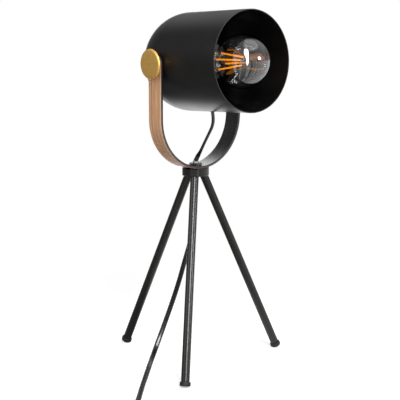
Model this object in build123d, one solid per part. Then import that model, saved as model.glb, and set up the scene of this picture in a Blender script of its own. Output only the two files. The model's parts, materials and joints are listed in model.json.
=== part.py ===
from build123d import *
import os
from math import atan, cos, degrees, pi, radians, sin, sqrt, tan

# Tripod table lamp, millimetres, +Z up. The origin is on the floor under the hub, the shade looks along -Y
# and the tilt axis runs along X.

# Shade
SHADE_RADIUS = 55.0
SHADE_WALL = 1.0
SHADE_FRONT = 92.5
SHADE_REAR = 3.5
REST_TILT = 3.0
PIVOT_HEIGHT = 344.8

# Yoke: a steel strip with a wood veneer outside
PIVOT_GAP = 0.9
STRIP_THICKNESS = 1.6
VENEER_THICKNESS = 1.2
YOKE_WIDTH = 21.2
ARM_STRAIGHT = 61.1

# Hub, hollow nipple and what the nipple clamps
HUB_RADIUS = 15.3
HUB_HEIGHT = 8.6
HUB_CHAMFER = 0.4
NIPPLE_RADIUS = 4.0
NIPPLE_BORE = 3.0
SADDLE_RADIUS = 6.0
SADDLE_HEIGHT = 0.6
NUT_ACROSS = 13.0
NUT_HEIGHT = 2.2
BUSH_RADIUS = 3.4
BUSH_HEIGHT = 2.2
BUSH_SLEEVE = 4.0

# Legs and feet
LEG_RADIUS = 4.7
LEG_WALL = 1.0
LEG_ROOT = 9.9
LEG_SINK = 0.3
FOOT_CIRCLE = 106.4
FRONT_LEG_ANGLE = 223.0
LEG_COUNT = 3
LEG_STUD_RADIUS = 2.0
LEG_STUD_DEPTH = 4.0
LEG_STUD_GRIP = 8.0
FOOT_RADIUS = 6.0
FOOT_LENGTH = 4.8
FOOT_FLOOR = 3.0
FOOT_SPIGOT = 8.0
FOOT_ROUND = 1.5
FOOT_LIP = 0.6
FOOT_FLAT = 0.5

# Pivots
PIVOT_STUD_RADIUS = 3.0
WASHER_RADIUS = 8.0
KNOB_RADIUS = 16.4
KNOB_DISC = 2.6
KNOB_BEVEL = 0.8
KNOB_BOSS_RADIUS = 10.0
KNOB_BOSS = 4.8
KNOB_SOCKET = 4.0
PIVOT_NUT_ACROSS = 10.0
PIVOT_NUT_HEIGHT = 5.0
STUD_TAIL = 1.0

# Lamp holder on its bracket, along the shade's axis from the pivot
BRACKET_THICKNESS = 1.2
BRACKET_WIDTH = 18.0
EAR_WIDTH = 14.0
EAR_FRONT = 9.0
HOLDER_REAR = -20.0
HOLDER_RADIUS = 19.5
HOLDER_WALL = 2.5
HOLDER_BOSS_RADIUS = 9.0
HOLDER_BOSS_LENGTH = 8.0
HOLDER_CONE = 11.0
HOLDER_CAP_LENGTH = 22.0
HOLDER_SHELL_LENGTH = 28.5
HOLDER_LIP = 3.5
HOLDER_LIP_RADIUS = 14.6
HOLDER_NIPPLE_RADIUS = 5.0
HOLDER_NIPPLE_BORE = 3.5
HOLDER_NUT_ACROSS = 14.0
HOLDER_NUT_HEIGHT = 3.0
NIPPLE_TAIL = 1.5
INSERT_SEAT = 20.0
INSERT_THICKNESS = 6.0
SCREW_SHELL_WALL = 0.5
SCREW_SHELL_LENGTH = 24.0
TERMINAL_SCREW_RADIUS = 1.5
TERMINAL_SCREW_HEAD = 2.6
TERMINAL_SCREW_OFFSET = 11.0
TERMINAL_SCREW_HEAD_HEIGHT = 1.5
CONTACT_RADIUS = 3.0
CONTACT_HEIGHT = 1.5
CONTACT_RIVET = 1.5

# Bulb
BULB_RADIUS = 30.0
BULB_LENGTH = 106.0
GLASS_WALL = 0.8
BULB_CAP_RADIUS = 13.0
BULB_CAP_WALL = 0.6
BULB_CAP_LENGTH = 22.5
BULB_CONTACT = 1.0
BULB_CONTACT_RADIUS = 5.0
BULB_INSULATOR = 2.0
BULB_INSULATOR_RADIUS = 9.0
NECK_SEAT = 3.0
NECK_STRAIGHT = 3.0
STEM_RADIUS = 3.2
STEM_LENGTH = 20.0
STEM_FLARE = 2.0
SUPPORT_RADIUS = 1.2
FILAMENT_COUNT = 4
FILAMENT_RADIUS = 0.9
FILAMENT_START = 73.0
FILAMENT_RISE = 14.0
FILAMENT_BASE_SPREAD = 9.5
FILAMENT_CROWN_SPREAD = 4.5
FILAMENT_CROWN_BEHIND_CENTRE = 0.5
WIRE_RADIUS = 0.4
WIRE_RISE = 3.0

# Cord and what is on it
CORD_RADIUS = 1.75
ARC_SHARE = 0.45
GROMMET_FORWARD = 26.0
GROMMET_NECK = 2.4
GROMMET_LIP_RADIUS = 2.7
GROMMET_LIP = 0.4
GROMMET_FLANGE_RADIUS = 4.0
GROMMET_FLANGE = 1.2
SWITCH_ANGLE = 319.0
SWITCH_LENGTH = 58.0
SWITCH_WIDTH = 20.0
SWITCH_HEIGHT = 13.0
SWITCH_SPLIT = 4.6
SWITCH_WALL = 1.6
SWITCH_END_WALL = 3.2
SWITCH_TOP_ROUND = 1.6
SWITCH_CORNER = 6.0
BOOT_RADIUS = 3.4
BOOT_LENGTH = 7.0
ROCKER_LENGTH = 15.2
ROCKER_WIDTH = 8.4
ROCKER_PIVOT_HEIGHT = 9.5
ROCKER_ABOVE = 5.1
ROCKER_DIP = 2.0
ROCKER_BELOW = 3.0
ROCKER_TILT = 7.0
ROCKER_GAP = 0.9
ROCKER_SIDE_GAP = 0.3
ROCKER_PIN_RADIUS = 1.2
ROCKER_PIN_BITE = 1.0
SWITCH_SCREW_ALONG = 18.0
SWITCH_SCREW_ACROSS = 5.2
SWITCH_SCREW_RADIUS = 1.2
SWITCH_SCREW_HEAD = 2.2
SWITCH_SCREW_HEAD_HEIGHT = 1.6
SWITCH_SCREW_SINK = 0.4
SWITCH_SCREW_REACH = 9.0
SWITCH_BOSS_RADIUS = 2.8
TERMINAL_ALONG = 11.0
TERMINAL_LENGTH = 6.0
TERMINAL_WIDTH = 5.0
TERMINAL_HEIGHT = 3.0
LEAF_WIDTH = 4.0
LEAF_THICKNESS = 0.4
COIL_LAYERS = 4
COIL_TURNS = 2
COIL_INNER = 15.0
COIL_PITCH = 4.8
COIL_RISE = 4.4
COIL_NEIGHBOUR = 14.0
TIE_THICKNESS = 0.8
TIE_WIDTH = 8.0
TIE_ROOM = 1.2
PLUG_LENGTH = 36.0
PLUG_WIDTH = 35.0
PLUG_TAIL_WIDTH = 11.0
PLUG_THICKNESS = 13.7
PLUG_FRONT = 14.0
PLUG_ROUND = 2.0
PIN_SPACING = 19.0
PIN_RADIUS = 2.0
PIN_LENGTH = 19.0
PIN_BITE = 8.0

# Clearances
RUNNING = 0.05
THREAD_PLAY = 0.05
SEAT_PLAY = 0.1
CORD_PLAY = 0.1
LOOSE_PLAY = 0.3

# Places worked out from the sizes above
yoke_inner = SHADE_RADIUS + PIVOT_GAP
strip_outer = yoke_inner + STRIP_THICKNESS
yoke_outer = strip_outer + VENEER_THICKNESS
yoke_centre = PIVOT_HEIGHT - ARM_STRAIGHT
hub_top = yoke_centre - yoke_outer
hub_bottom = hub_top - HUB_HEIGHT
strip_floor = yoke_centre - yoke_inner
saddle_top = strip_floor + SADDLE_HEIGHT
nut_top = saddle_top + NUT_HEIGHT
bush_top = nut_top + BUSH_HEIGHT
lean = atan((FOOT_CIRCLE - LEG_ROOT) / hub_bottom)
socket_radius = LEG_RADIUS + SEAT_PLAY
leg_seat = socket_radius * tan(lean) + LEG_SINK
foot_end_height = FOOT_ROUND * (1 - cos(lean)) + (FOOT_RADIUS - FOOT_ROUND) * sin(lean) - FOOT_FLAT
foot_end = (hub_bottom - foot_end_height) / cos(lean)
leg_end = foot_end - FOOT_FLOOR
shade_inner = SHADE_RADIUS - SHADE_WALL
knob_back = yoke_outer + RUNNING
knob_disc_back = knob_back + KNOB_BOSS
ear_inner = shade_inner - BRACKET_THICKNESS
nut_corner = PIVOT_NUT_ACROSS / sqrt(3)
pivot_nut_face = sqrt(ear_inner**2 - nut_corner**2) - RUNNING
bracket_rear = HOLDER_REAR - BRACKET_THICKNESS
holder_nut_rear = bracket_rear - HOLDER_NUT_HEIGHT
holder_cap_front = HOLDER_REAR + HOLDER_CAP_LENGTH
holder_front = holder_cap_front + HOLDER_SHELL_LENGTH
insert_front = HOLDER_REAR + INSERT_SEAT
insert_rear = insert_front - INSERT_THICKNESS
bulb_tip = insert_front + CONTACT_HEIGHT
bulb_centre = bulb_tip + BULB_LENGTH - BULB_RADIUS
insulator_rear = bulb_tip + BULB_CONTACT
bulb_cap_rear = insulator_rear + BULB_INSULATOR
bulb_cap_front = bulb_cap_rear + BULB_CAP_LENGTH
neck_radius = BULB_CAP_RADIUS - BULB_CAP_WALL
neck_rear = bulb_cap_front - NECK_SEAT

ALIGN_BASE = (Align.CENTER, Align.CENTER, Align.MIN)
HEAD = Plane(
    origin=(0, 0, PIVOT_HEIGHT),
    x_dir=(1, 0, 0),
    z_dir=(0, -cos(radians(REST_TILT)), sin(radians(REST_TILT))),
)
LEG = Plane(
    origin=(LEG_ROOT, 0, hub_bottom),
    x_dir=(cos(lean), 0, sin(lean)),
    z_dir=(sin(lean), 0, -cos(lean)),
)


def rod(radius, start, end):
    """A cylinder along Z from start to end."""
    return Pos(0, 0, start) * Cylinder(radius, end - start, align=ALIGN_BASE)


def tube(outer, inner, start, end):
    """A hollow cylinder along Z."""
    return rod(outer, start, end) - rod(inner, start, end)


def hexagon(across, start, end):
    """A hexagonal prism along Z."""
    outline = RegularPolygon(across / 2, 6, major_radius=False)
    return Pos(0, 0, start) * extrude(outline, end - start)


def along_x(part):
    """Turns a part built along Z so that it runs along X."""
    return Rot(0, 90, 0) * part


def mirrored_pair(part):
    """A part on the +X side together with its twin on the -X side."""
    return [part, mirror(part, Plane.YZ)]


def turned(points):
    """A solid of revolution about Z from radius and height pairs."""
    return revolve(Plane.XZ * make_face(Polyline(*points, close=True)), Axis.Z)


def between(start, end, radius):
    """A round rod between two points."""
    reach = Vector(*end) - Vector(*start)
    return Plane(origin=start, z_dir=reach) * Cylinder(radius, reach.length, align=ALIGN_BASE)


def bell(inset):
    """The shade's outer form, moved inwards by the inset: a straight side closed by a half sphere."""
    radius = SHADE_RADIUS - inset
    outline = [
        CenterArc((0, -SHADE_REAR), radius, 270, 90),
        Line((radius, -SHADE_REAR), (radius, SHADE_FRONT)),
        Line((radius, SHADE_FRONT), (0, SHADE_FRONT)),
        Line((0, SHADE_FRONT), (0, -SHADE_REAR - radius)),
    ]
    return Rot(0, 0, 90) * revolve(Plane.XZ * make_face(outline), Axis.Z)


def yoke_band(inner, outer):
    """One layer of the U-shaped yoke, with rounded ends, pivot holes and a hole for the nipple."""
    thickness = outer - inner
    bow = Pos(0, 0, yoke_centre) * Rot(90, 0, 0) * (Cylinder(outer, YOKE_WIDTH) - Cylinder(inner, YOKE_WIDTH))
    below = Pos(0, 0, yoke_centre - outer) * Box(2 * outer, YOKE_WIDTH, outer, align=ALIGN_BASE)
    band = bow & below
    middle = (inner + outer) / 2
    arm = Pos(middle, 0, yoke_centre) * Box(thickness, YOKE_WIDTH, ARM_STRAIGHT, align=ALIGN_BASE)
    arm += Pos(inner, 0, PIVOT_HEIGHT) * along_x(rod(YOKE_WIDTH / 2, 0, thickness))
    for side in mirrored_pair(arm):
        band += side
    band -= Pos(0, 0, PIVOT_HEIGHT) * along_x(rod(PIVOT_STUD_RADIUS + RUNNING, -2 * outer, 2 * outer))
    band -= rod(NIPPLE_RADIUS + SEAT_PLAY, hub_top - outer, yoke_centre)
    return band


def around_legs(part):
    """Copies of a part built in one leg's frame, one for each leg."""
    step = 360 / LEG_COUNT
    return [Rot(0, 0, FRONT_LEG_ANGLE + step * i) * LEG.location * part for i in range(LEG_COUNT)]


def make_stand():
    """The hub, legs, feet, yoke and the hollow nipple that holds the yoke down."""
    hub = rod(HUB_RADIUS, hub_bottom, hub_top)
    hub = chamfer(hub.edges().group_by(Axis.Z)[0], HUB_CHAMFER)
    hub -= rod(NIPPLE_RADIUS, hub_bottom, hub_top)
    socket = rod(socket_radius, -leg_seat, HUB_HEIGHT)
    socket += rod(LEG_STUD_RADIUS + THREAD_PLAY, -leg_seat - LEG_STUD_DEPTH, -leg_seat)
    for cut in around_legs(socket):
        hub -= cut

    bore = LEG_RADIUS - LEG_WALL
    legs = around_legs(tube(LEG_RADIUS, bore, -leg_seat, leg_end))
    stud = rod(bore, -leg_seat, LEG_STUD_GRIP - leg_seat)
    stud += rod(LEG_STUD_RADIUS, -leg_seat - LEG_STUD_DEPTH + SEAT_PLAY, -leg_seat)

    foot = rod(FOOT_RADIUS, foot_end - FOOT_LENGTH, foot_end)
    foot = fillet(foot.edges().group_by(Axis.Z)[-1], FOOT_ROUND)
    foot = fillet(foot.edges().group_by(Axis.Z)[0], FOOT_LIP)
    foot -= rod(LEG_RADIUS, foot_end - FOOT_LENGTH, leg_end)
    foot += rod(bore, leg_end - FOOT_SPIGOT, leg_end)
    ground = Box(4 * FOOT_CIRCLE, 4 * FOOT_CIRCLE, FOOT_LENGTH, align=(Align.CENTER, Align.CENTER, Align.MAX))
    feet = [cap - ground for cap in around_legs(foot)]

    saddle = rod(SADDLE_RADIUS, strip_floor - SADDLE_HEIGHT, saddle_top)
    saddle -= rod(NIPPLE_RADIUS + SEAT_PLAY, strip_floor - SADDLE_HEIGHT, saddle_top)
    saddle &= Pos(0, 0, yoke_centre) * (Rot(90, 0, 0) * Cylinder(yoke_inner, YOKE_WIDTH))
    nut = hexagon(NUT_ACROSS, saddle_top, nut_top) - rod(NIPPLE_RADIUS + THREAD_PLAY, saddle_top, nut_top)
    bush = rod(BUSH_RADIUS, nut_top, bush_top)
    bush += rod(NIPPLE_BORE - SEAT_PLAY, nut_top - BUSH_SLEEVE, nut_top)
    bush -= rod(CORD_RADIUS + CORD_PLAY, nut_top - BUSH_SLEEVE, bush_top)

    names = ["front", "right", "rear"]
    stand = {
        "hub": hub,
        "leg_studs": around_legs(stud),
        "nipple": tube(NIPPLE_RADIUS, NIPPLE_BORE, hub_bottom, nut_top),
        "saddle_washer": saddle,
        "top_nut": nut,
        "cord_bush": bush,
        "yoke_strip": yoke_band(yoke_inner, strip_outer),
        "yoke_veneer": yoke_band(strip_outer, yoke_outer),
        "stem_lead": rod(CORD_RADIUS, hub_bottom, bush_top),
    }
    for name, leg, foot in zip(names, legs, feet):
        stand["leg_" + name] = leg
        stand["foot_" + name] = foot
    return stand


def make_grommet(wall):
    """The bushing in the cord's hole through the shade's underside, and that hole."""
    outside = SHADE_RADIUS + GROMMET_LIP
    inside = shade_inner - GROMMET_FLANGE
    body = rod(GROMMET_FLANGE_RADIUS, inside, shade_inner) + rod(GROMMET_NECK, inside, outside)
    body += rod(GROMMET_LIP_RADIUS, shade_inner, outside)
    hole = rod(GROMMET_NECK, 0, 2 * SHADE_RADIUS)
    down = Pos(0, 0, GROMMET_FORWARD) * Rot(90, 0, 0)
    bushing = down * body - (wall - down * hole)
    return bushing - down * rod(CORD_RADIUS + CORD_PLAY, 0, 2 * SHADE_RADIUS), down * hole


def make_head():
    """The shade, its pivots and the lamp holder on its bracket, in the head's own frame."""
    outer_form = bell(0)
    wall = outer_form - bell(SHADE_WALL)
    pivot_hole = along_x(rod(PIVOT_STUD_RADIUS + RUNNING, -2 * SHADE_RADIUS, 2 * SHADE_RADIUS))
    grommet, cord_hole = make_grommet(wall)

    washer = along_x(rod(WASHER_RADIUS, shade_inner - PIVOT_GAP, yoke_inner - RUNNING))
    washer -= outer_form + pivot_hole

    reach = EAR_FRONT - bracket_rear
    ears = bell(SHADE_WALL) - bell(SHADE_WALL + BRACKET_THICKNESS)
    ears &= Pos(0, 0, bracket_rear) * Box(2 * SHADE_RADIUS, EAR_WIDTH, reach, align=ALIGN_BASE)
    plate = Box(2 * SHADE_RADIUS, BRACKET_WIDTH, BRACKET_THICKNESS, align=ALIGN_BASE)
    plate = Pos(0, 0, bracket_rear) * plate
    bracket = (plate & bell(SHADE_WALL)) + ears
    bracket -= pivot_hole + rod(HOLDER_NIPPLE_RADIUS + SEAT_PLAY, bracket_rear, HOLDER_REAR)

    pivot_nut = along_x(hexagon(PIVOT_NUT_ACROSS, pivot_nut_face - PIVOT_NUT_HEIGHT, pivot_nut_face))
    pivot_nut -= pivot_hole

    nipple_rear = holder_nut_rear - NIPPLE_TAIL
    nipple = tube(HOLDER_NIPPLE_RADIUS, HOLDER_NIPPLE_BORE, nipple_rear, HOLDER_REAR + HOLDER_BOSS_LENGTH)
    nut = hexagon(HOLDER_NUT_ACROSS, holder_nut_rear, bracket_rear)
    nut -= rod(HOLDER_NIPPLE_RADIUS + THREAD_PLAY, holder_nut_rear, bracket_rear)

    inner = HOLDER_RADIUS - HOLDER_WALL
    cap = turned(
        [
            (HOLDER_NIPPLE_RADIUS, HOLDER_REAR),
            (HOLDER_BOSS_RADIUS, HOLDER_REAR),
            (HOLDER_RADIUS, HOLDER_REAR + HOLDER_CONE),
            (HOLDER_RADIUS, holder_cap_front),
            (inner, holder_cap_front),
            (inner, HOLDER_REAR + HOLDER_CONE + HOLDER_WALL),
            (HOLDER_BOSS_RADIUS, HOLDER_REAR + HOLDER_BOSS_LENGTH),
            (HOLDER_NIPPLE_RADIUS, HOLDER_REAR + HOLDER_BOSS_LENGTH),
        ]
    )
    shell = rod(HOLDER_RADIUS, holder_cap_front, holder_front)
    shell -= rod(inner, holder_cap_front, holder_front - HOLDER_LIP)
    shell -= rod(HOLDER_LIP_RADIUS, holder_front - HOLDER_LIP, holder_front)

    insert = rod(inner - SEAT_PLAY, insert_rear, insert_front)
    insert -= rod(CONTACT_RIVET, insert_rear, insert_front)
    screw = rod(TERMINAL_SCREW_RADIUS, insert_rear, insert_front)
    screw += rod(TERMINAL_SCREW_HEAD, insert_rear - TERMINAL_SCREW_HEAD_HEIGHT, insert_rear)
    screws = [Pos(side * TERMINAL_SCREW_OFFSET, 0, 0) * screw for side in (1, -1)]
    for piece in screws:
        insert -= piece
    contact = rod(CONTACT_RIVET, insert_rear, insert_front)
    contact += rod(CONTACT_RADIUS, insert_front, bulb_tip)
    bore = BULB_CAP_RADIUS + RUNNING
    screw_shell = tube(bore + SCREW_SHELL_WALL, bore, insert_front, insert_front + SCREW_SHELL_LENGTH)

    return {
        "shade": wall - pivot_hole - cord_hole,
        "cord_grommet": grommet,
        "friction_washers": mirrored_pair(washer),
        "holder_bracket": bracket,
        "pivot_nuts": mirrored_pair(pivot_nut),
        "holder_nipple": nipple,
        "holder_nut": nut,
        "holder_cap": cap,
        "holder_shell": shell,
        "holder_insert": insert,
        "screw_shell": screw_shell,
        "centre_contact": contact,
        "terminal_screws": screws,
    }


def bulb_form(inset):
    """The bulb's outer form, moved inwards by the inset: a neck that sweeps into a globe."""
    neck = neck_radius - inset
    start = bulb_cap_front + NECK_STRAIGHT
    rise = bulb_centre - start
    sweep_radius = (neck_radius**2 + rise**2 - BULB_RADIUS**2) / (2 * (BULB_RADIUS - neck_radius))
    centre = (neck_radius + sweep_radius, start)
    span = sweep_radius + BULB_RADIUS
    share = (sweep_radius + inset) / span
    join = (centre[0] * (1 - share), centre[1] + rise * share)
    globe = BULB_RADIUS - inset
    outline = [
        Line((0, neck_rear), (neck, neck_rear)),
        Line((neck, neck_rear), (neck, start)),
        TangentArc((neck, start), join, tangent=(0, 1)),
        TangentArc(join, (0, bulb_centre + globe), tangent=(rise, centre[0])),
        Line((0, bulb_centre + globe), (0, neck_rear)),
    ]
    return revolve(Plane.XZ * make_face(outline), Axis.Z)


def make_bulb():
    """A clear globe bulb with straight filaments round a glass stem, in the head's own frame."""
    stem_root = neck_rear + STEM_FLARE
    stem_top = stem_root + STEM_LENGTH
    crown_height = bulb_centre - FILAMENT_CROWN_BEHIND_CENTRE
    base_height = stem_root + FILAMENT_RISE
    support_top = crown_height + WIRE_RISE
    stem = rod(neck_radius - GLASS_WALL - SEAT_PLAY, neck_rear, stem_root)
    stem += rod(STEM_RADIUS, stem_root, stem_top)
    stem += rod(SUPPORT_RADIUS, stem_top, support_top)

    filaments = []
    wires = []
    for i in range(FILAMENT_COUNT):
        turn = radians(FILAMENT_START + i * 360 / FILAMENT_COUNT)
        out = Vector(cos(turn), sin(turn), 0)
        base = out * FILAMENT_BASE_SPREAD + Vector(0, 0, base_height)
        crown = out * FILAMENT_CROWN_SPREAD + Vector(0, 0, crown_height)
        filament = between(base, crown, FILAMENT_RADIUS)
        filaments.append(filament)
        wires.append(between(base, Vector(0, 0, base_height - WIRE_RISE), WIRE_RADIUS) - stem - filament)
        wires.append(between(crown, Vector(0, 0, support_top - WIRE_RADIUS), WIRE_RADIUS) - stem - filament)

    cap = tube(BULB_CAP_RADIUS, neck_radius, bulb_cap_rear, bulb_cap_front)
    cap += tube(BULB_CAP_RADIUS, BULB_INSULATOR_RADIUS, bulb_cap_rear, bulb_cap_rear + BULB_CAP_WALL)
    insulator = turned(
        [
            (0, insulator_rear),
            (BULB_CONTACT_RADIUS, insulator_rear),
            (BULB_INSULATOR_RADIUS, bulb_cap_rear),
            (BULB_INSULATOR_RADIUS, bulb_cap_rear + BULB_CAP_WALL),
            (0, bulb_cap_rear + BULB_CAP_WALL),
        ]
    )
    return {
        "bulb_glass": bulb_form(0) - bulb_form(GLASS_WALL),
        "bulb_cap": cap,
        "bulb_insulator": insulator,
        "bulb_contact": rod(BULB_CONTACT_RADIUS, bulb_tip, insulator_rear),
        "bulb_stem": stem,
        "filaments": filaments,
        "filament_wires": wires,
    }


def make_knob():
    """One thumb knob and its stud on the +X side, in the head's own frame."""
    disc = rod(KNOB_RADIUS, knob_disc_back, knob_disc_back + KNOB_DISC)
    disc = chamfer(disc.edges().group_by(Axis.Z)[-1], KNOB_BEVEL)
    knob = disc + rod(KNOB_BOSS_RADIUS, knob_back, knob_disc_back)
    knob -= rod(PIVOT_STUD_RADIUS, knob_back, knob_back + KNOB_SOCKET)
    stud = rod(PIVOT_STUD_RADIUS, pivot_nut_face - PIVOT_NUT_HEIGHT - STUD_TAIL, knob_back + KNOB_SOCKET)
    return along_x(knob), along_x(stud)


def corner_radii(points):
    """The largest arc that each corner of a cord's route has room for."""
    radii = []
    for before, corner, after in zip(points, points[1:], points[2:]):
        inward = corner - before
        onward = after - corner
        half_turn = radians(inward.get_angle(onward)) / 2
        radii.append(ARC_SHARE * min(inward.length, onward.length) / tan(half_turn))
    return radii


def cord(name, route):
    """A round cord along straight runs joined by arcs as large as the runs allow."""
    points = [Vector(*point) for point in route]
    radii = corner_radii(points)
    path = FilletPolyline(*points, radius=radii) if len(points) > 2 else Line(*points)
    section = Plane(origin=points[0], z_dir=points[1] - points[0]) * Circle(CORD_RADIUS)
    solid = sweep(section, path)
    expected = pi * CORD_RADIUS**2 * path.length
    print(f"{name}: length {path.length:.1f}, volume {solid.volume / expected:.4f} of section times length")
    print("  radii " + " ".join(f"{radius:.0f}" for radius in radii))
    return solid


def biarc(start, start_way, end, end_way):
    """Two arcs that run smoothly from one point and direction to another."""
    reach = end - start
    ways = start_way + end_way
    spread = 2 * (1 - start_way.dot(end_way))
    across = reach.dot(ways)
    step = (sqrt(across**2 + spread * reach.dot(reach)) - across) / spread
    middle = (start + end + (start_way - end_way) * step) * 0.5
    first = Edge.make_tangent_arc(start, start_way, middle)
    return [first, Edge.make_tangent_arc(middle, first % 1, end)]


def least_gap(edges, spacing):
    """The least gap between parts of a wound tube that aren't next to each other along it."""
    points = []
    travelled = 0.0
    for edge in edges:
        count = max(2, round(edge.length / spacing))
        for i in range(count):
            points.append((travelled + edge.length * i / count, edge @ (i / count)))
        travelled += edge.length
    gaps = []
    for i, (place, point) in enumerate(points):
        for other_place, other in points[i + 1 :]:
            if other_place - place > COIL_NEIGHBOUR:
                gaps.append((other - point).length)
    return min(gaps) - 2 * CORD_RADIUS


def heading(angle):
    """A level direction at an angle from +X."""
    return Vector(cos(radians(angle)), sin(radians(angle)), 0)


# Places of the pieces on the cord, and its route between them, chosen where the cord runs and lies
SWITCH_ENTRY = (-128.5, -145.3)
COIL_ENTRY = (-60.5, -204.2)
COIL_HEADING = 319.0
PLUG_REAR = (-128.6, -203.5)
PLUG_ANGLE = 132.0
SWITCH_LEAD_IN = 20.0
SHORT_LEAD = 12.0
GROMMET_LEAD = 7.0
PLUG_LEAD_POINTS = [(-111.3, -223.1, 11.6)]
ABOVE_BUSH_POINTS = [
    (0, 0, 2.8),
    (0, -0.8, 6.4),
    (0, -3.0, 10.6),
    (0, -6.6, 15.2),
]
BELOW_GROMMET_POINTS = [
    (0, 14.7, -34.0),
    (0, 6.2, -24.0),
    (0, 0.8, -15.8),
]
BELOW_HUB_POINTS = [
    (0, 0, -25.4),
    (-0.6, 2.6, -51.4),
    (-3.4, 4.6, -76.4),
]
FLOOR_POINTS = [
    (-8.6, 9.0, 117.0),
    (-13.6, 13.0, 93.0),
    (-20.2, 16.8, 70.0),
    (-28.4, 19.0, 48.5),
    (-37.6, 19.4, 29.5),
    (-49.0, 15.6, 14.0),
    (-66.0, 3.2, 5.4),
    (-90.0, -19.6, 1.9),
    (-116.0, -45.8, 1.9),
    (-141.6, -72.6, 1.9),
    (-149.7, -79.3, 2.0),
    (-158.8, -91.3, 2.2),
    (-161.8, -106.6, 2.7),
    (-155.5, -120.7, 3.6),
]
HOLDER_LEAD_POINTS = [
    (0, -46.6, 26.0),
    (0, -38.8, 21.5),
    (0, -34.3, 13.7),
    (0, -34.0, 0.5),
    (0, -34.6, -11.5),
    (0, -34.9, -23.5),
    (0, -34.0, -35.5),
    (0, -27.5, -44.5),
    (0, -17.0, -47.9),
    (0, -6.5, -44.5),
    (0, 0, -35.5),
    (0, 0, -26.0),
]


def make_switch(frame):
    """The in-line rocker switch, in the switch's own frame: cord along X, floor at zero height."""
    half = SWITCH_LENGTH / 2
    room_length = SWITCH_LENGTH - 2 * SWITCH_END_WALL
    room_width = SWITCH_WIDTH - 2 * SWITCH_WALL
    screw_places = [
        (SWITCH_SCREW_ALONG, SWITCH_SCREW_ACROSS),
        (-SWITCH_SCREW_ALONG, -SWITCH_SCREW_ACROSS),
    ]
    cover_height = SWITCH_HEIGHT - SWITCH_SPLIT
    head_top = SWITCH_SCREW_SINK + SWITCH_SCREW_HEAD_HEIGHT
    screw = rod(SWITCH_SCREW_HEAD, SWITCH_SCREW_SINK, head_top)
    screw += rod(SWITCH_SCREW_RADIUS, head_top, SWITCH_SCREW_REACH)
    screws = [Pos(x, y, 0) * screw for x, y in screw_places]

    base = Box(SWITCH_LENGTH, SWITCH_WIDTH, SWITCH_SPLIT, align=ALIGN_BASE)
    base = fillet(base.edges().filter_by(Axis.Z), SWITCH_CORNER)
    base -= Pos(0, 0, SWITCH_WALL) * Box(room_length, room_width, SWITCH_SPLIT, align=ALIGN_BASE)
    cover = Pos(0, 0, SWITCH_SPLIT) * Box(SWITCH_LENGTH, SWITCH_WIDTH, cover_height, align=ALIGN_BASE)
    cover = fillet(cover.edges().filter_by(Axis.Z), SWITCH_CORNER)
    cover = fillet(cover.edges().group_by(Axis.Z)[-1], SWITCH_TOP_ROUND)
    cover -= Box(room_length, room_width, SWITCH_HEIGHT - SWITCH_WALL, align=ALIGN_BASE)
    for x, y in screw_places:
        base += Pos(x, y, 0) * rod(SWITCH_BOSS_RADIUS, SWITCH_WALL, SWITCH_SPLIT)
        cover += Pos(x, y, 0) * rod(SWITCH_BOSS_RADIUS, SWITCH_SPLIT, SWITCH_HEIGHT - SWITCH_WALL)
        recess = rod(SWITCH_SCREW_HEAD + SEAT_PLAY, 0, head_top)
        base -= Pos(x, y, 0) * (recess + rod(SWITCH_SCREW_RADIUS, 0, SWITCH_SPLIT))
        cover -= Pos(x, y, 0) * rod(SWITCH_SCREW_RADIUS, SWITCH_SPLIT, SWITCH_SCREW_REACH)
    window_length = ROCKER_LENGTH + 2 * ROCKER_GAP
    window_width = ROCKER_WIDTH + 2 * ROCKER_SIDE_GAP
    cover -= Pos(0, 0, SWITCH_SPLIT) * Box(window_length, window_width, SWITCH_HEIGHT, align=ALIGN_BASE)

    pin_reach = room_width / 2 + ROCKER_PIN_BITE
    pivot = Pos(0, 0, ROCKER_PIVOT_HEIGHT)
    pin = pivot * Rot(90, 0, 0) * rod(ROCKER_PIN_RADIUS, -pin_reach, pin_reach)
    cover -= pin
    end = ROCKER_LENGTH / 2
    side = make_face(
        Polyline(
            (-end, -ROCKER_BELOW),
            (end, -ROCKER_BELOW),
            (end, ROCKER_ABOVE),
            (0, ROCKER_ABOVE - ROCKER_DIP),
            (-end, ROCKER_ABOVE),
            close=True,
        )
    )
    rocker = extrude(Plane.XZ * side, ROCKER_WIDTH / 2, both=True)
    rocker -= Rot(90, 0, 0) * rod(ROCKER_PIN_RADIUS + RUNNING, -ROCKER_WIDTH, ROCKER_WIDTH)
    rocker = pivot * Rot(0, -ROCKER_TILT, 0) * rocker

    terminal = Pos(TERMINAL_ALONG, 0, SWITCH_WALL) * Box(
        TERMINAL_LENGTH, TERMINAL_WIDTH, TERMINAL_HEIGHT, align=ALIGN_BASE
    )
    leaf_start = -TERMINAL_ALONG - TERMINAL_LENGTH / 2
    leaf_end = TERMINAL_ALONG - TERMINAL_LENGTH
    leaf = Pos((leaf_start + leaf_end) / 2, 0, SWITCH_WALL + TERMINAL_HEIGHT) * Box(
        leaf_end - leaf_start, LEAF_WIDTH, LEAF_THICKNESS, align=ALIGN_BASE
    )
    boot = Pos(0, 0, SWITCH_SPLIT) * along_x(
        tube(BOOT_RADIUS, CORD_RADIUS + CORD_PLAY, half, half + BOOT_LENGTH)
    )
    pieces = {
        "switch_base": base,
        "switch_cover": cover,
        "switch_rocker": rocker,
        "rocker_pin": pin,
        "switch_screws": screws,
        "switch_terminals": mirrored_pair(terminal),
        "switch_leaf": leaf,
        "switch_boots": mirrored_pair(boot),
    }
    return placed(pieces, frame)


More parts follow.
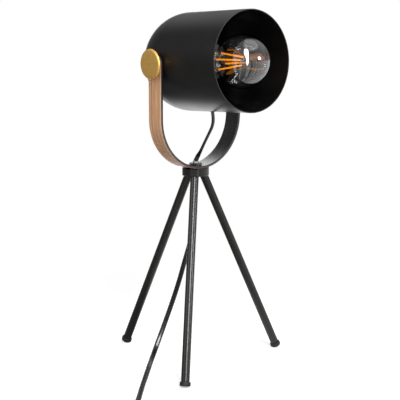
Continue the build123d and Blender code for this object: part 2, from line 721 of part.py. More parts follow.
def make_coil(entry, way):
    """The put-away length as one tube that winds in, climbs half a turn and winds out again, with its tie."""
    outer = COIL_INNER + COIL_TURNS * COIL_PITCH
    growth = COIL_PITCH / (2 * pi)
    first_angle = radians(COIL_HEADING) + pi / 2 + atan(growth / outer)
    lead = 2 * CORD_RADIUS
    start = entry + way * lead
    centre = start - Vector(outer * cos(first_angle), outer * sin(first_angle), 0)

    def place(angle, radius, slope, height):
        out = Vector(cos(angle), sin(angle), 0)
        round_way = Vector(sin(angle), -cos(angle), 0)
        return centre + out * radius + Vector(0, 0, height), (out * slope + round_way * radius).normalized()

    half_turns = 2 * COIL_TURNS
    stations = []
    for layer in range(COIL_LAYERS):
        inwards = layer % 2 == 0
        for i in range(half_turns + 1):
            wound = COIL_PITCH * i / 2
            radius = outer - wound if inwards else COIL_INNER + wound
            reverses = i == 0 and layer > 0 or i == half_turns and layer < COIL_LAYERS - 1
            slope = 0 if reverses else -growth if inwards else growth
            stations.append(place(first_angle - pi * len(stations), radius, slope, COIL_RISE * layer))

    edges = [Edge.make_line(entry, start)]
    for (point, point_way), (next_point, next_way) in zip(stations, stations[1:]):
        edges += biarc(point, point_way, next_point, next_way)
    last, last_way = stations[-1]
    exit_point = last + last_way * lead
    edges.append(Edge.make_line(last, exit_point))
    path = Wire(edges)
    coil = sweep(Plane(origin=entry, z_dir=way) * Circle(CORD_RADIUS), path)
    expected = pi * CORD_RADIUS**2 * path.length
    print(f"cord_coil: length {path.length:.1f}, volume {coil.volume / expected:.4f} of section times length")
    print(f"  least gap to itself {least_gap(edges, CORD_RADIUS):.2f}")

    room = (outer - COIL_INNER) + 2 * (CORD_RADIUS + TIE_ROOM)
    room_height = COIL_RISE * (COIL_LAYERS - 1) + 2 * (CORD_RADIUS + LOOSE_PLAY)
    across = heading(degrees(first_angle) - 90)
    frame = Plane(origin=(centre.X, centre.Y, 0), x_dir=across, z_dir=(0, 0, 1))
    middle = (outer + COIL_INNER) / 2
    band = Pos(middle, 0, 0) * Box(
        room + 2 * TIE_THICKNESS, TIE_WIDTH, room_height + 2 * TIE_THICKNESS, align=ALIGN_BASE
    )
    band -= Pos(middle, 0, TIE_THICKNESS) * Box(room, TIE_WIDTH, room_height, align=ALIGN_BASE)
    return coil, frame.location * band, exit_point, last_way


def make_plug(frame):
    """A flat two-pin plug, in its own frame: cord end at zero, pins along X."""
    tail = PLUG_TAIL_WIDTH / 2
    wide = PLUG_WIDTH / 2
    outline = Polyline(
        (0, -tail),
        (PLUG_LENGTH - PLUG_FRONT, -wide),
        (PLUG_LENGTH, -wide),
        (PLUG_LENGTH, wide),
        (PLUG_LENGTH - PLUG_FRONT, wide),
        (0, tail),
        close=True,
    )
    body = extrude(make_face(outline), PLUG_THICKNESS)
    body = fillet(body.edges().filter_by(Axis.Z), PLUG_ROUND)
    pins = []
    for side in (-1, 1):
        pin = rod(PIN_RADIUS, PLUG_LENGTH - PIN_BITE, PLUG_LENGTH + PIN_LENGTH)
        pin = fillet(pin.edges().group_by(Axis.Z)[-1], PIN_RADIUS / 2)
        pins.append(Pos(0, side * PIN_SPACING / 2, PLUG_THICKNESS / 2) * along_x(pin))
    for pin in pins:
        body -= pin
    return placed({"plug_body": body, "plug_pins": pins}, frame)


def placed(pieces, frame):
    """Moves every piece, or every solid of a group, from its own frame into the lamp's."""
    moved = {}
    for name, piece in pieces.items():
        if isinstance(piece, list):
            moved[name] = [frame.location * solid for solid in piece]
        else:
            moved[name] = frame.location * piece
    return moved


def make_cord():
    """The cord from the shade to the plug, with the switch, the coil and the plug where they lie."""
    grommet_mouth = HEAD.from_local_coords(Vector(0, -SHADE_RADIUS - GROMMET_LIP, GROMMET_FORWARD))
    bush_mouth = Vector(0, 0, bush_top)
    hub_mouth = Vector(0, 0, hub_bottom)
    switch_way = heading(SWITCH_ANGLE)
    switch_entry = Vector(*SWITCH_ENTRY, SWITCH_SPLIT)
    switch_exit = switch_entry + switch_way * SWITCH_LENGTH
    switch_middle = switch_entry + switch_way * (SWITCH_LENGTH / 2)
    coil_way = heading(COIL_HEADING)
    coil_entry = Vector(*COIL_ENTRY, TIE_THICKNESS + LOOSE_PLAY + CORD_RADIUS)
    plug_way = heading(PLUG_ANGLE)
    plug_rear = Vector(*PLUG_REAR, PLUG_THICKNESS / 2)
    coil, tie, coil_exit, coil_exit_way = make_coil(coil_entry, coil_way)

    lead_start = Vector(0, -SHADE_RADIUS - GROMMET_LIP, GROMMET_FORWARD)
    holder_route = [HEAD.from_local_coords(Vector(*point)) for point in [lead_start, *HOLDER_LEAD_POINTS]]
    pieces = {
        "head_cord": cord(
            "head_cord",
            [
                bush_mouth,
                *[bush_mouth + Vector(*point) for point in ABOVE_BUSH_POINTS],
                *[grommet_mouth + Vector(*point) for point in BELOW_GROMMET_POINTS],
                grommet_mouth - HEAD.y_dir * GROMMET_LEAD,
                grommet_mouth,
            ],
        ),
        "holder_lead": cord("holder_lead", holder_route),
        "lamp_cord": cord(
            "lamp_cord",
            [
                hub_mouth,
                *[hub_mouth + Vector(*point) for point in BELOW_HUB_POINTS],
                *FLOOR_POINTS,
                switch_entry - switch_way * SWITCH_LEAD_IN,
                switch_entry,
            ],
        ),
        "coil_lead": cord(
            "coil_lead",
            [
                switch_exit,
                switch_exit + switch_way * SHORT_LEAD,
                coil_entry - coil_way * SHORT_LEAD,
                coil_entry,
            ],
        ),
        "cord_coil": coil,
        "coil_tie": tie,
        "plug_lead": cord(
            "plug_lead",
            [
                coil_exit,
                coil_exit + coil_exit_way * SHORT_LEAD,
                *PLUG_LEAD_POINTS,
                plug_rear - plug_way * SHORT_LEAD,
                plug_rear,
            ],
        ),
    }
    level = (0, 0, 1)
    pieces |= make_switch(Plane(origin=(switch_middle.X, switch_middle.Y, 0), x_dir=switch_way, z_dir=level))
    pieces |= make_plug(Plane(origin=(plug_rear.X, plug_rear.Y, 0), x_dir=plug_way, z_dir=level))
    return pieces


def make_lamp():
    """Every piece of the lamp, by node name."""
    lamp = make_stand()
    lamp |= placed(make_head(), HEAD)
    lamp |= placed(make_bulb(), HEAD)
    knob, stud = make_knob()
    right_knob, left_knob = mirrored_pair(knob)
    right_stud, left_stud = mirrored_pair(stud)
    lamp |= placed(
        {
            "knob_left": left_knob,
            "knob_stud_left": left_stud,
            "knob_right": right_knob,
            "knob_stud_right": right_stud,
        },
        HEAD,
    )
    lamp |= make_cord()
    return lamp


os.makedirs("parts", exist_ok=True)
for node, piece in make_lamp().items():
    shape = Compound(children=piece) if isinstance(piece, list) else piece
    export_step(shape, f"parts/{node}.step")
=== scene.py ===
"""Looks of the tripod table lamp: its finishes, its turned knobs, and its flat cord with tie and reliefs."""

import json
import logging
import math
from collections.abc import Callable
from dataclasses import dataclass
from enum import Enum

import bpy
from mathutils import Matrix, Vector


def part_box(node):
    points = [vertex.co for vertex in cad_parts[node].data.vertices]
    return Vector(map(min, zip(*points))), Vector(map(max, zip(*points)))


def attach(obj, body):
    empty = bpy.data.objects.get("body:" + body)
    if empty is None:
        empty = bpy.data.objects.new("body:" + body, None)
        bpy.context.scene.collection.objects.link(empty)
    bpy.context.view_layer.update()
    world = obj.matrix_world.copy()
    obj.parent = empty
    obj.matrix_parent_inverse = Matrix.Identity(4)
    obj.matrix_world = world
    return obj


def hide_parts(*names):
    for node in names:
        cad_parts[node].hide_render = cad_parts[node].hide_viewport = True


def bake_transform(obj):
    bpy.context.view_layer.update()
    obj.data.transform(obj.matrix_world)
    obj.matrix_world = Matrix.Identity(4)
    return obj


LOG = logging.getLogger("tripod_lamp")
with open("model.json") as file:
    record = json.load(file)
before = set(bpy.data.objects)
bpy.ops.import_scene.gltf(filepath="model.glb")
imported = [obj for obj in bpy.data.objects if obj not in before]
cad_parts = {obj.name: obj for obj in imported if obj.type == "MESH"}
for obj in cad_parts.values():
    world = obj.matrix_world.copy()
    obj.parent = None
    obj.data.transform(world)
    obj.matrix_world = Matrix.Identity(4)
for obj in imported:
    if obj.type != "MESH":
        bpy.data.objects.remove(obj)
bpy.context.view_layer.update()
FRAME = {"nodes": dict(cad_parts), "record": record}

Point = tuple[float, float, float]
Pair = tuple[float, float]
Tree = bpy.types.NodeTree
Socket = bpy.types.NodeSocket
Piece = bpy.types.Object
Material = bpy.types.Material

MM = 0.001
UP = Vector((0, 0, 1))
WHITE = (1.0, 1.0, 1.0, 1.0)
PIVOT_HEIGHT = 344.8
COIL_CENTRE = (-73.414, -225.554)
LEG_NODES = ("hub", "leg_front", "leg_right", "leg_rear")

SPIN_STEPS = 96
EDGE_STEPS = 2
MERGE_GAP = 0.01 * MM
# Edges that bend more than this stay sharp.
TURNED_CREASE = math.radians(40)
SWEPT_CREASE = math.radians(50)
# A face looks along an axis when its normal has more than this share of it.
FACING_SHARE = 0.9

# Nearly all of a noise's values lie between these two.
NOISE_LOW, NOISE_HIGH = 0.3, 0.7
# How many finer layers a noise has.
BLOTCH_DETAIL = 4.0
GRIT_DETAIL = 2.0
PLAIN_DETAIL = 1.0


def linear(code: str) -> tuple[float, float, float, float]:
    """Turn an sRGB hex colour into the linear values that a shader takes.

    Args:
        code: Six hex digits after a hash.

    Returns:
        Linear red, green and blue, and an alpha of one.
    """
    values = [int(code[i : i + 2], 16) / 255 for i in (1, 3, 5)]
    red, green, blue = [v / 12.92 if v <= 0.04045 else ((v + 0.055) / 1.055) ** 2.4 for v in values]
    return red, green, blue, 1.0


def add_node(tree: Tree, kind: str, inputs: dict | None = None, **settings: object) -> bpy.types.Node:
    """Add a shader node with its settings, values and links.

    Args:
        tree: The node tree that gets the node.
        kind: The node's type, without its ShaderNode prefix.
        inputs: A value, or another node's output, for each named or numbered input.
        settings: The node's own properties.

    Returns:
        The new node.
    """
    node = tree.nodes.new("ShaderNode" + kind)
    for name, value in settings.items():
        setattr(node, name, value)
    for name, value in (inputs or {}).items():
        if isinstance(value, Socket):
            tree.links.new(value, node.inputs[name])
        else:
            node.inputs[name].default_value = value
    return node


def only_select(*pieces: Piece) -> None:
    """Leave just these objects selected, the first one active."""
    bpy.ops.object.select_all(action="DESELECT")
    for piece in pieces:
        piece.select_set(True)
    bpy.context.view_layer.objects.active = pieces[0]


def new_piece(name: str, mesh: bpy.types.Mesh) -> Piece:
    """Put a mesh in the scene as a named piece at the origin."""
    piece = bpy.data.objects.new(name, mesh)
    bpy.context.scene.collection.objects.link(piece)
    return piece


def new_box(name: str, size: Point, middle: Point) -> Piece:
    """Add a box, with its size and place in its mesh.

    Args:
        name: The box's name.
        size: Its length, width and height, in millimetres.
        middle: Its middle, in millimetres.

    Returns:
        The box, which is the active object.
    """
    bpy.ops.object.select_all(action="DESELECT")
    bpy.ops.mesh.primitive_cube_add(size=1.0)
    box = bpy.context.active_object
    box.name = name
    scale = Matrix.Diagonal((*(side * MM for side in size), 1.0))
    box.data.transform(Matrix.Translation(Vector(middle) * MM) @ scale)
    return box


def edit_faces(piece: Piece, wanted: Callable[[bpy.types.MeshPolygon], bool]) -> None:
    """Go into edit mode with just some faces of the active piece selected.

    Args:
        piece: The piece.
        wanted: Tells whether a face is one of them.
    """
    bpy.ops.object.mode_set(mode="EDIT")
    bpy.ops.mesh.select_mode(type="FACE")
    bpy.ops.mesh.select_all(action="DESELECT")
    bpy.ops.object.mode_set(mode="OBJECT")
    for face in piece.data.polygons:
        face.select = wanted(face)
    bpy.ops.object.mode_set(mode="EDIT")


def soften(piece: Piece, width: float) -> None:
    """Round the edges of the active piece by a bevel of this width, in millimetres."""
    soft = piece.modifiers.new("soft", "BEVEL")
    soft.width = width * MM
    soft.segments = EDGE_STEPS
    bpy.ops.object.modifier_apply(modifier=soft.name)


def spun(name: str, outline: list[Pair], origin: Vector, way: Point) -> Piece:
    """Spin an outline about an axis into a closed round piece.

    Args:
        name: The piece's name.
        outline: Pairs of distance along the axis and radius, in millimetres, from axis to axis.
        origin: The axis's start, in metres.
        way: The axis's direction.

    Returns:
        The piece, with its place in its mesh.
    """
    mesh = bpy.data.meshes.new(name)
    points = [(radius * MM, 0.0, along * MM) for along, radius in outline]
    mesh.from_pydata(points, [(i, i + 1) for i in range(len(points) - 1)], [])
    piece = new_piece(name, mesh)
    only_select(piece)
    bpy.ops.object.mode_set(mode="EDIT")
    bpy.ops.mesh.select_all(action="SELECT")
    bpy.ops.mesh.spin(steps=SPIN_STEPS, angle=2 * math.pi, center=(0, 0, 0), axis=(0, 0, 1))
    bpy.ops.mesh.select_all(action="SELECT")
    bpy.ops.mesh.remove_doubles(threshold=MERGE_GAP)
    bpy.ops.mesh.normals_make_consistent(inside=False)
    bpy.ops.object.mode_set(mode="OBJECT")
    turn = UP.rotation_difference(Vector(way)).to_matrix().to_4x4()
    mesh.transform(Matrix.Translation(origin) @ turn)
    bpy.ops.object.shade_smooth_by_angle(angle=TURNED_CREASE)
    return piece


def swept(name: str, points: list[Vector], count: int, rings: int) -> Piece:
    """Join rings of points into one closed piece.

    Args:
        name: The piece's name.
        points: The rings' points, ring after ring, in metres.
        count: How many points a ring has.
        rings: How many rings there are.

    Returns:
        The piece.
    """
    faces = []
    for i in range(rings - 1):
        for j in range(count):
            k = (j + 1) % count
            faces.append((i * count + j, (i + 1) * count + j, (i + 1) * count + k, i * count + k))
    last = (rings - 1) * count
    faces.append(tuple(range(count)))
    faces.append(tuple(reversed(range(last, last + count))))
    mesh = bpy.data.meshes.new(name)
    mesh.from_pydata(points, [], faces)
    piece = new_piece(name, mesh)
    only_select(piece)
    bpy.ops.object.mode_set(mode="EDIT")
    bpy.ops.mesh.select_all(action="SELECT")
    bpy.ops.mesh.normals_make_consistent(inside=False)
    bpy.ops.object.mode_set(mode="OBJECT")
    bpy.ops.object.shade_smooth_by_angle(angle=SWEPT_CREASE)
    return piece


class Body(Enum):
    """The lamp's moving bodies that the pieces made here ride on."""

    STAND = "stand"
    HEAD = "head"
    KNOB_LEFT = "knob_left"
    KNOB_RIGHT = "knob_right"


def dress(piece: Piece, materials: dict[str, Material], slot: str, body: Body, *nodes: str) -> None:
    """Give a piece its finish, its body and the solids that it stands for.

    Args:
        piece: The piece.
        materials: The finishes by slot.
        slot: The piece's material slot.
        body: The body that it moves with.
        nodes: The solids that it replaces.
    """
    piece.data.materials.append(materials[slot])
    if nodes:
        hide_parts(*nodes)
    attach(piece, body.value)
    LOG.info("%s rides on %s", piece.name, body.value)


@dataclass(frozen=True)
class Finish:
    """A finish with a faint unevenness in colour and gloss and a fine relief.

    Attributes:
        name: What the material is and how its surface was made.
        colour: Its colour.
        shadow: The darker tone that its unevenness runs to.
        roughness: Its mean roughness.
        swing: How far the roughness goes either side of that.
        blotch: The size of the unevenness, in millimetres.
        grit: The size of the relief's grain, in millimetres.
        relief: The depth of the relief, in millimetres.
        metallic: One for a bare metal.
        ior: The index of refraction.
        painted_glow: How strongly it shines in its own colour whatever light falls on it: painted light,
            though it is no lamp.
    """

    name: str
    colour: str
    shadow: str
    roughness: float
    swing: float = 0.04
    blotch: float = 12.0
    grit: float = 0.5
    relief: float = 0.01
    metallic: float = 0.0
    ior: float = 1.5
    painted_glow: float = 0.0

    def build(self) -> Material:
        """Make the material and its nodes."""
        material = bpy.data.materials.new(self.name)
        material.use_nodes = True
        tree = material.node_tree
        tree.nodes.clear()
        place = add_node(tree, "TexCoord").outputs["Object"]
        shader = self.shader(tree, place)
        add_node(tree, "OutputMaterial", {"Surface": shader.outputs[0]})
        return material

    def noise(self, tree: Tree, place: Socket, size: float, detail: float) -> Socket:
        """Add a noise.

        Args:
            tree: The material's nodes.
            place: The coordinates that it reads.
            size: The size of its spots, in millimetres.
            detail: How many finer layers it has.

        Returns:
            The noise, from 0 to 1.
        """
        spots = {"Vector": place, "Scale": 1 / (size * MM), "Detail": detail}
        return add_node(tree, "TexNoise", spots).outputs["Fac"]

    def pattern(self, tree: Tree, place: Socket) -> tuple[Socket, Socket]:
        """Add what makes the surface uneven.

        Args:
            tree: The material's nodes.
            place: The object's coordinates.

        Returns:
            The unevenness of colour and gloss, and the height of the relief.
        """
        uneven = self.noise(tree, place, self.blotch, BLOTCH_DETAIL)
        return uneven, self.noise(tree, place, self.grit, GRIT_DETAIL)

    def tone(self, tree: Tree, place: Socket, uneven: Socket) -> Socket:
        """Add the colour.

        Args:
            tree: The material's nodes.
            place: The object's coordinates.
            uneven: The unevenness.

        Returns:
            The colour.
        """
        spread = add_node(
            tree, "MapRange", {"Value": uneven, "From Min": NOISE_LOW, "From Max": NOISE_HIGH}
        )
        tones = {0: spread.outputs[0], 6: linear(self.shadow), 7: linear(self.colour)}
        return add_node(tree, "Mix", tones, data_type="RGBA").outputs[2]

    def shader(self, tree: Tree, place: Socket) -> bpy.types.Node:
        """Add the surface shader.

        Args:
            tree: The material's nodes.
            place: The object's coordinates.

        Returns:
            The shader node.
        """
        uneven, height = self.pattern(tree, place)
        gloss = add_node(
            tree,
            "MapRange",
            {
                "Value": uneven,
                "From Min": NOISE_LOW,
                "From Max": NOISE_HIGH,
                "To Min": self.roughness - self.swing,
                "To Max": self.roughness + self.swing,
            },
        )
        bump = add_node(tree, "Bump", {"Height": height, "Distance": self.relief * MM, "Strength": 1.0})
        return add_node(
            tree,
            "BsdfPrincipled",
            {
                "Base Color": self.tone(tree, place, uneven),
                "Roughness": gloss.outputs["Result"],
                "Normal": bump.outputs["Normal"],
                "Metallic": self.metallic,
                "IOR": self.ior,
                # Painted light: the finish shines in its own colour, lit or not.
                "Emission Color": linear(self.colour),
                "Emission Strength": self.painted_glow,
            },
        )


@dataclass(frozen=True)
class Clear(Finish):
    """Clear glass or plastic, with faint ripples from its making.

    Attributes:
        clarity: How much light goes straight through, from 0 to 1.
        ripple: How strongly its ripples tell, from 0 to 1.
    """

    clarity: float = 1.0
    ripple: float = 0.3

    def shader(self, tree: Tree, place: Socket) -> bpy.types.Node:
        """Add a see-through shader. See Finish.shader."""
        height = self.noise(tree, place, self.blotch, PLAIN_DETAIL)
        waves = {"Height": height, "Distance": self.relief * MM, "Strength": self.ripple}
        bump = add_node(tree, "Bump", waves)
        return add_node(
            tree,
            "BsdfPrincipled",
            {
                "Base Color": linear(self.colour),
                "Roughness": self.roughness,
                "Normal": bump.outputs["Normal"],
                "IOR": self.ior,
                "Transmission Weight": self.clarity,
            },
        )


@dataclass(frozen=True)
class Brushed(Finish):
    """A finish drawn out in fine lines that follow the yoke's strip round its bend.

    Attributes:
        stretch: How many times longer than wide its marks are.
    """

    stretch: float = 30.0

    def drawn(self, tree: Tree, place: Socket) -> Socket:
        """Add coordinates that run across the strip and, drawn out, along it.

        Args:
            tree: The material's nodes.
            place: The object's coordinates.

        Returns:
            The coordinates.
        """
        apart = add_node(tree, "SeparateXYZ", {0: place})
        run = add_node(tree, "Math", {0: apart.outputs["X"], 1: apart.outputs["Z"]}, operation="ADD")
        along = add_node(tree, "Math", {0: run.outputs[0], 1: self.stretch}, operation="DIVIDE")
        return add_node(tree, "CombineXYZ", {"X": apart.outputs["Y"], "Y": along.outputs[0]}).outputs[0]

    def pattern(self, tree: Tree, place: Socket) -> tuple[Socket, Socket]:
        """Add the drawn-out lines. See Finish.pattern."""
        return super().pattern(tree, self.drawn(tree, place))


@dataclass(frozen=True)
class Veneer(Brushed):
    """Sliced walnut veneer: streaks and pores along the strip, a paler band along the front edge, dark cut
    edges, and painted shade that darkens the bend at the bottom.

    Attributes:
        pale: The colour of the paler band along the front edge.
        cut: The colour of the cut edges and the pores, and of the painted shade at the bend.
        half_width: Half of the strip's width, in millimetres.
        pale_width: The width of the paler band, in millimetres.
        pale_share: How much of the pale colour there is at the edge.
        pore: The width of a pore, in millimetres.
        pore_range: The noise's values from a pore's rim to its middle.
        pore_share: How much of the dark colour a pore has.
        painted_shade_low: The height below which the painted shade at the bend is deepest, in millimetres.
        painted_shade_high: The height where that painted shade ends, in millimetres.
        painted_shade_share: How much of the painted shade there is at its deepest.
        edge_range: How squarely a face looks sideways where a cut edge starts, and where it is full.
    """

    pale: str = "#dcbfa2"
    cut: str = "#54413a"
    half_width: float = 10.6
    pale_width: float = 2.2
    pale_share: float = 0.75
    pore: float = 0.9
    pore_range: Pair = (0.56, 0.7)
    pore_share: float = 0.55
    painted_shade_low: float = 232.0
    painted_shade_high: float = 280.0
    painted_shade_share: float = 0.3
    edge_range: Pair = (0.6, 0.8)

    def tone(self, tree: Tree, place: Socket, uneven: Socket) -> Socket:
        """Add the wood's colour, with painted shade at the bend. See Finish.tone."""
        spots = self.noise(tree, self.drawn(tree, place), self.pore, PLAIN_DETAIL)
        apart = add_node(tree, "SeparateXYZ", {0: place})
        looks = add_node(tree, "SeparateXYZ", {0: add_node(tree, "NewGeometry").outputs["Normal"]})
        side = add_node(tree, "Math", {0: looks.outputs["Y"]}, operation="ABSOLUTE")
        front = (-self.half_width * MM, (self.pale_width - self.half_width) * MM)
        bend = (self.painted_shade_low * MM, self.painted_shade_high * MM)
        layers = (
            (spots, self.pore_range, (0.0, self.pore_share), self.cut),
            (apart.outputs["Y"], front, (self.pale_share, 0.0), self.pale),
            # Painted shade: darker towards the bend at the bottom, where less light falls.
            (apart.outputs["Z"], bend, (self.painted_shade_share, 0.0), self.cut),
            (side.outputs[0], self.edge_range, (0.0, 1.0), self.cut),
        )
        colour = super().tone(tree, place, uneven)
        for value, reach, share, layer in layers:
            ends = {"From Min": reach[0], "From Max": reach[1], "To Min": share[0], "To Max": share[1]}
            amount = add_node(tree, "MapRange", {"Value": value, **ends}).outputs[0]
            tones = {0: amount, 6: colour, 7: linear(layer)}
            colour = add_node(tree, "Mix", tones, data_type="RGBA").outputs[2]
        return colour


FINISHES = {
    # Baked powder over spun steel: a deep black with a soft, slightly pebbled sheen.
    "black_paint": Finish(
        "satin_black_powder_coat",
        "#131211",
        "#0d0c0c",
        0.33,
        swing=0.03,
        blotch=30.0,
        grit=1.4,
        relief=0.004,
        ior=1.4,
    ),
    # Sprayed enamel on drawn tube: tighter and glossier than the shade, so each leg shows one narrow streak.
    "leg_enamel": Finish(
        "satin_black_enamel",
        "#1b1816",
        "#13110f",
        0.25,
        swing=0.02,
        blotch=18.0,
        grit=3.0,
        relief=0.0008,
    ),
    # Brushed spring steel under dark lacquer: streaks along the strip. Real lines are 0.1 mm wide, and
    # these are drawn coarser to show.
    "strip_steel": Brushed(
        "dark_lacquered_brushed_steel",
        "#221f1d",
        "#0e0d0d",
        0.24,
        swing=0.1,
        blotch=1.4,
        grit=0.6,
        relief=0.07,
        ior=1.65,
    ),
    # Sliced walnut, lacquered matt: warm streaks 2 mm wide with dark pores between them, drawn coarser
    # than real ones to show.
    "veneer": Veneer(
        "matt_lacquered_walnut_veneer", "#cfa27a", "#966a48", 0.5, swing=0.06, blotch=2.2, relief=0.02
    ),
    # Blasted, then anodised: a satin gold without a clear mirror image.
    "gold": Finish(
        "satin_gold_anodised_aluminium",
        "#ffd27c",
        "#f3c26c",
        0.48,
        swing=0.05,
        blotch=1.6,
        relief=0.004,
        metallic=1.0,
    ),
    # Zinc over cold-headed steel: a grey metal with a cloudy bluish bloom.
    "steel": Finish(
        "zinc_plated_steel", "#b8b8ba", "#8c8c90", 0.35, swing=0.08, blotch=3.0, metallic=1.0
    ),
    # Oiled black oxide on a turned nut: near black, with worn lighter patches.
    "black_nut": Finish(
        "oiled_black_oxide_steel", "#4a4846", "#2b2a29", 0.34, swing=0.08, blotch=4.0, grit=0.7
    ),
    # Injection moulded and a little cloudy: it reads as a pale ring.
    "clear_plastic": Clear(
        "clear_moulded_polycarbonate", "#f4f4f0", "#f4f4f0", 0.18, ior=1.58, clarity=0.6
    ),
    # Moulded rubber: dull, with a fine grain and a dusty bloom.
    "foot_rubber": Finish(
        "moulded_black_rubber", "#181818", "#0f0f0f", 0.6, swing=0.06, blotch=5.0, grit=0.8, relief=0.02
    ),
    # Moulded with a spark-eroded texture: a fine even grain.
    "black_plastic": Finish(
        "moulded_black_abs", "#1a1a1a", "#121212", 0.42, blotch=15.0, grit=0.7, relief=0.015
    ),
    # Undyed moulded nylon: milky, waxy and slightly uneven.
    "nylon": Finish("moulded_natural_nylon", "#d9d6cc", "#bdb9ad", 0.4, blotch=6.0),
    # Pressed thermoset with wood-flour filler: brown with darker specks.
    "phenolic": Finish("moulded_phenolic", "#4a3f35", "#332b24", 0.35, blotch=1.5),
    # Stamped brass: bright yellow with rolling marks.
    "contact_brass": Finish(
        "stamped_contact_brass", "#d0ac62", "#a5813c", 0.25, swing=0.08, blotch=2.0, metallic=1.0
    ),
    # Drawn aluminium: pale, with a soft handling haze.
    "cap_metal": Finish(
        "drawn_aluminium", "#cfcfcf", "#a8a8a8", 0.25, swing=0.08, blotch=4.0, metallic=1.0
    ),
    # Blown soda glass: sharp reflections that waver a little.
    "bulb_clear": Clear(
        "blown_clear_glass", "#ffffff", "#ffffff", 0.0, blotch=22.0, relief=0.003, ior=1.75
    ),
    # Poured black glass: smooth and shiny.
    "bulb_black": Finish("black_vitreous_insulator", "#161616", "#0c0c0c", 0.2),
    # Silicone with yellow phosphor over the strip of diodes: orange, with painted light that makes it shine
    # whatever light falls on it.
    "filament": Finish("amber_phosphor_silicone", "#ff9a14", "#f08408", 0.45, blotch=2.0, painted_glow=0.9),
    # Extruded PVC: glossy black with a faint waviness.
    "cord_pvc": Finish("extruded_glossy_black_pvc", "#1c1c1c", "#121212", 0.16, blotch=8.0, grit=2.5),
    # Nickel over turned brass: warm silver with fine turning haze.
    "pin_metal": Finish(
        "nickel_plated_brass", "#c8c4bb", "#9d998f", 0.2, swing=0.06, blotch=3.0, metallic=1.0
    ),
}


@dataclass(frozen=True)
class Softbox:
    """An oval soft lamp that the camera doesn't see.

    Attributes:
        name: The lamp's name.
        place: Where it stands, in metres.
        size: Its width and height, in metres.
        power: Its power, in watts.
        aim: The point that it looks at, in metres.
        gloss_only: Whether it only shows in reflections, as a bright wall does.
    """

    name: str
    place: Point
    size: Pair
    power: float
    aim: Point = (0.0, 0.0, 0.25)
    gloss_only: bool = False

    def build(self) -> None:
        """Add the lamp."""
        data = bpy.data.lights.new(self.name, "AREA")
        data.shape = "ELLIPSE"
        data.size, data.size_y = self.size
        data.energy = self.power
        lamp = bpy.data.objects.new(self.name, data)
        bpy.context.scene.collection.objects.link(lamp)
        lamp.location = self.place
        lamp.visible_camera = False
        lamp.visible_diffuse = not self.gloss_only
        lamp.rotation_euler = (Vector(self.aim) - Vector(self.place)).to_track_quat("-Z", "Y").to_euler()


SOFTBOXES = (
    Softbox("key_softbox", (-0.49, -1.11, 1.13), (0.42, 1.0), 18.0),
    Softbox("low_softbox", (-0.42, -1.03, 0.46), (0.2, 0.75), 3.2, gloss_only=True),
    Softbox("right_softbox", (0.64, -1.2, 0.59), (0.3, 0.25), 3.5),
    Softbox("front_softbox", (0.3, -0.62, 1.55), (1.5, 1.1), 3.2, gloss_only=True),
    Softbox("back_card", (0.18, 0.26, 0.38), (0.2, 0.16), 0.14, (0.02, 0.0, 0.225), gloss_only=True),
    Softbox("floor_bounce", (0.33, 0.38, 0.001), (0.6, 0.5), 0.8, (0.33, 0.38, 1.0), gloss_only=True),
    Softbox("side_softbox", (-1.6, 0.5, 1.2), (1.4, 1.4), 8.0),
)


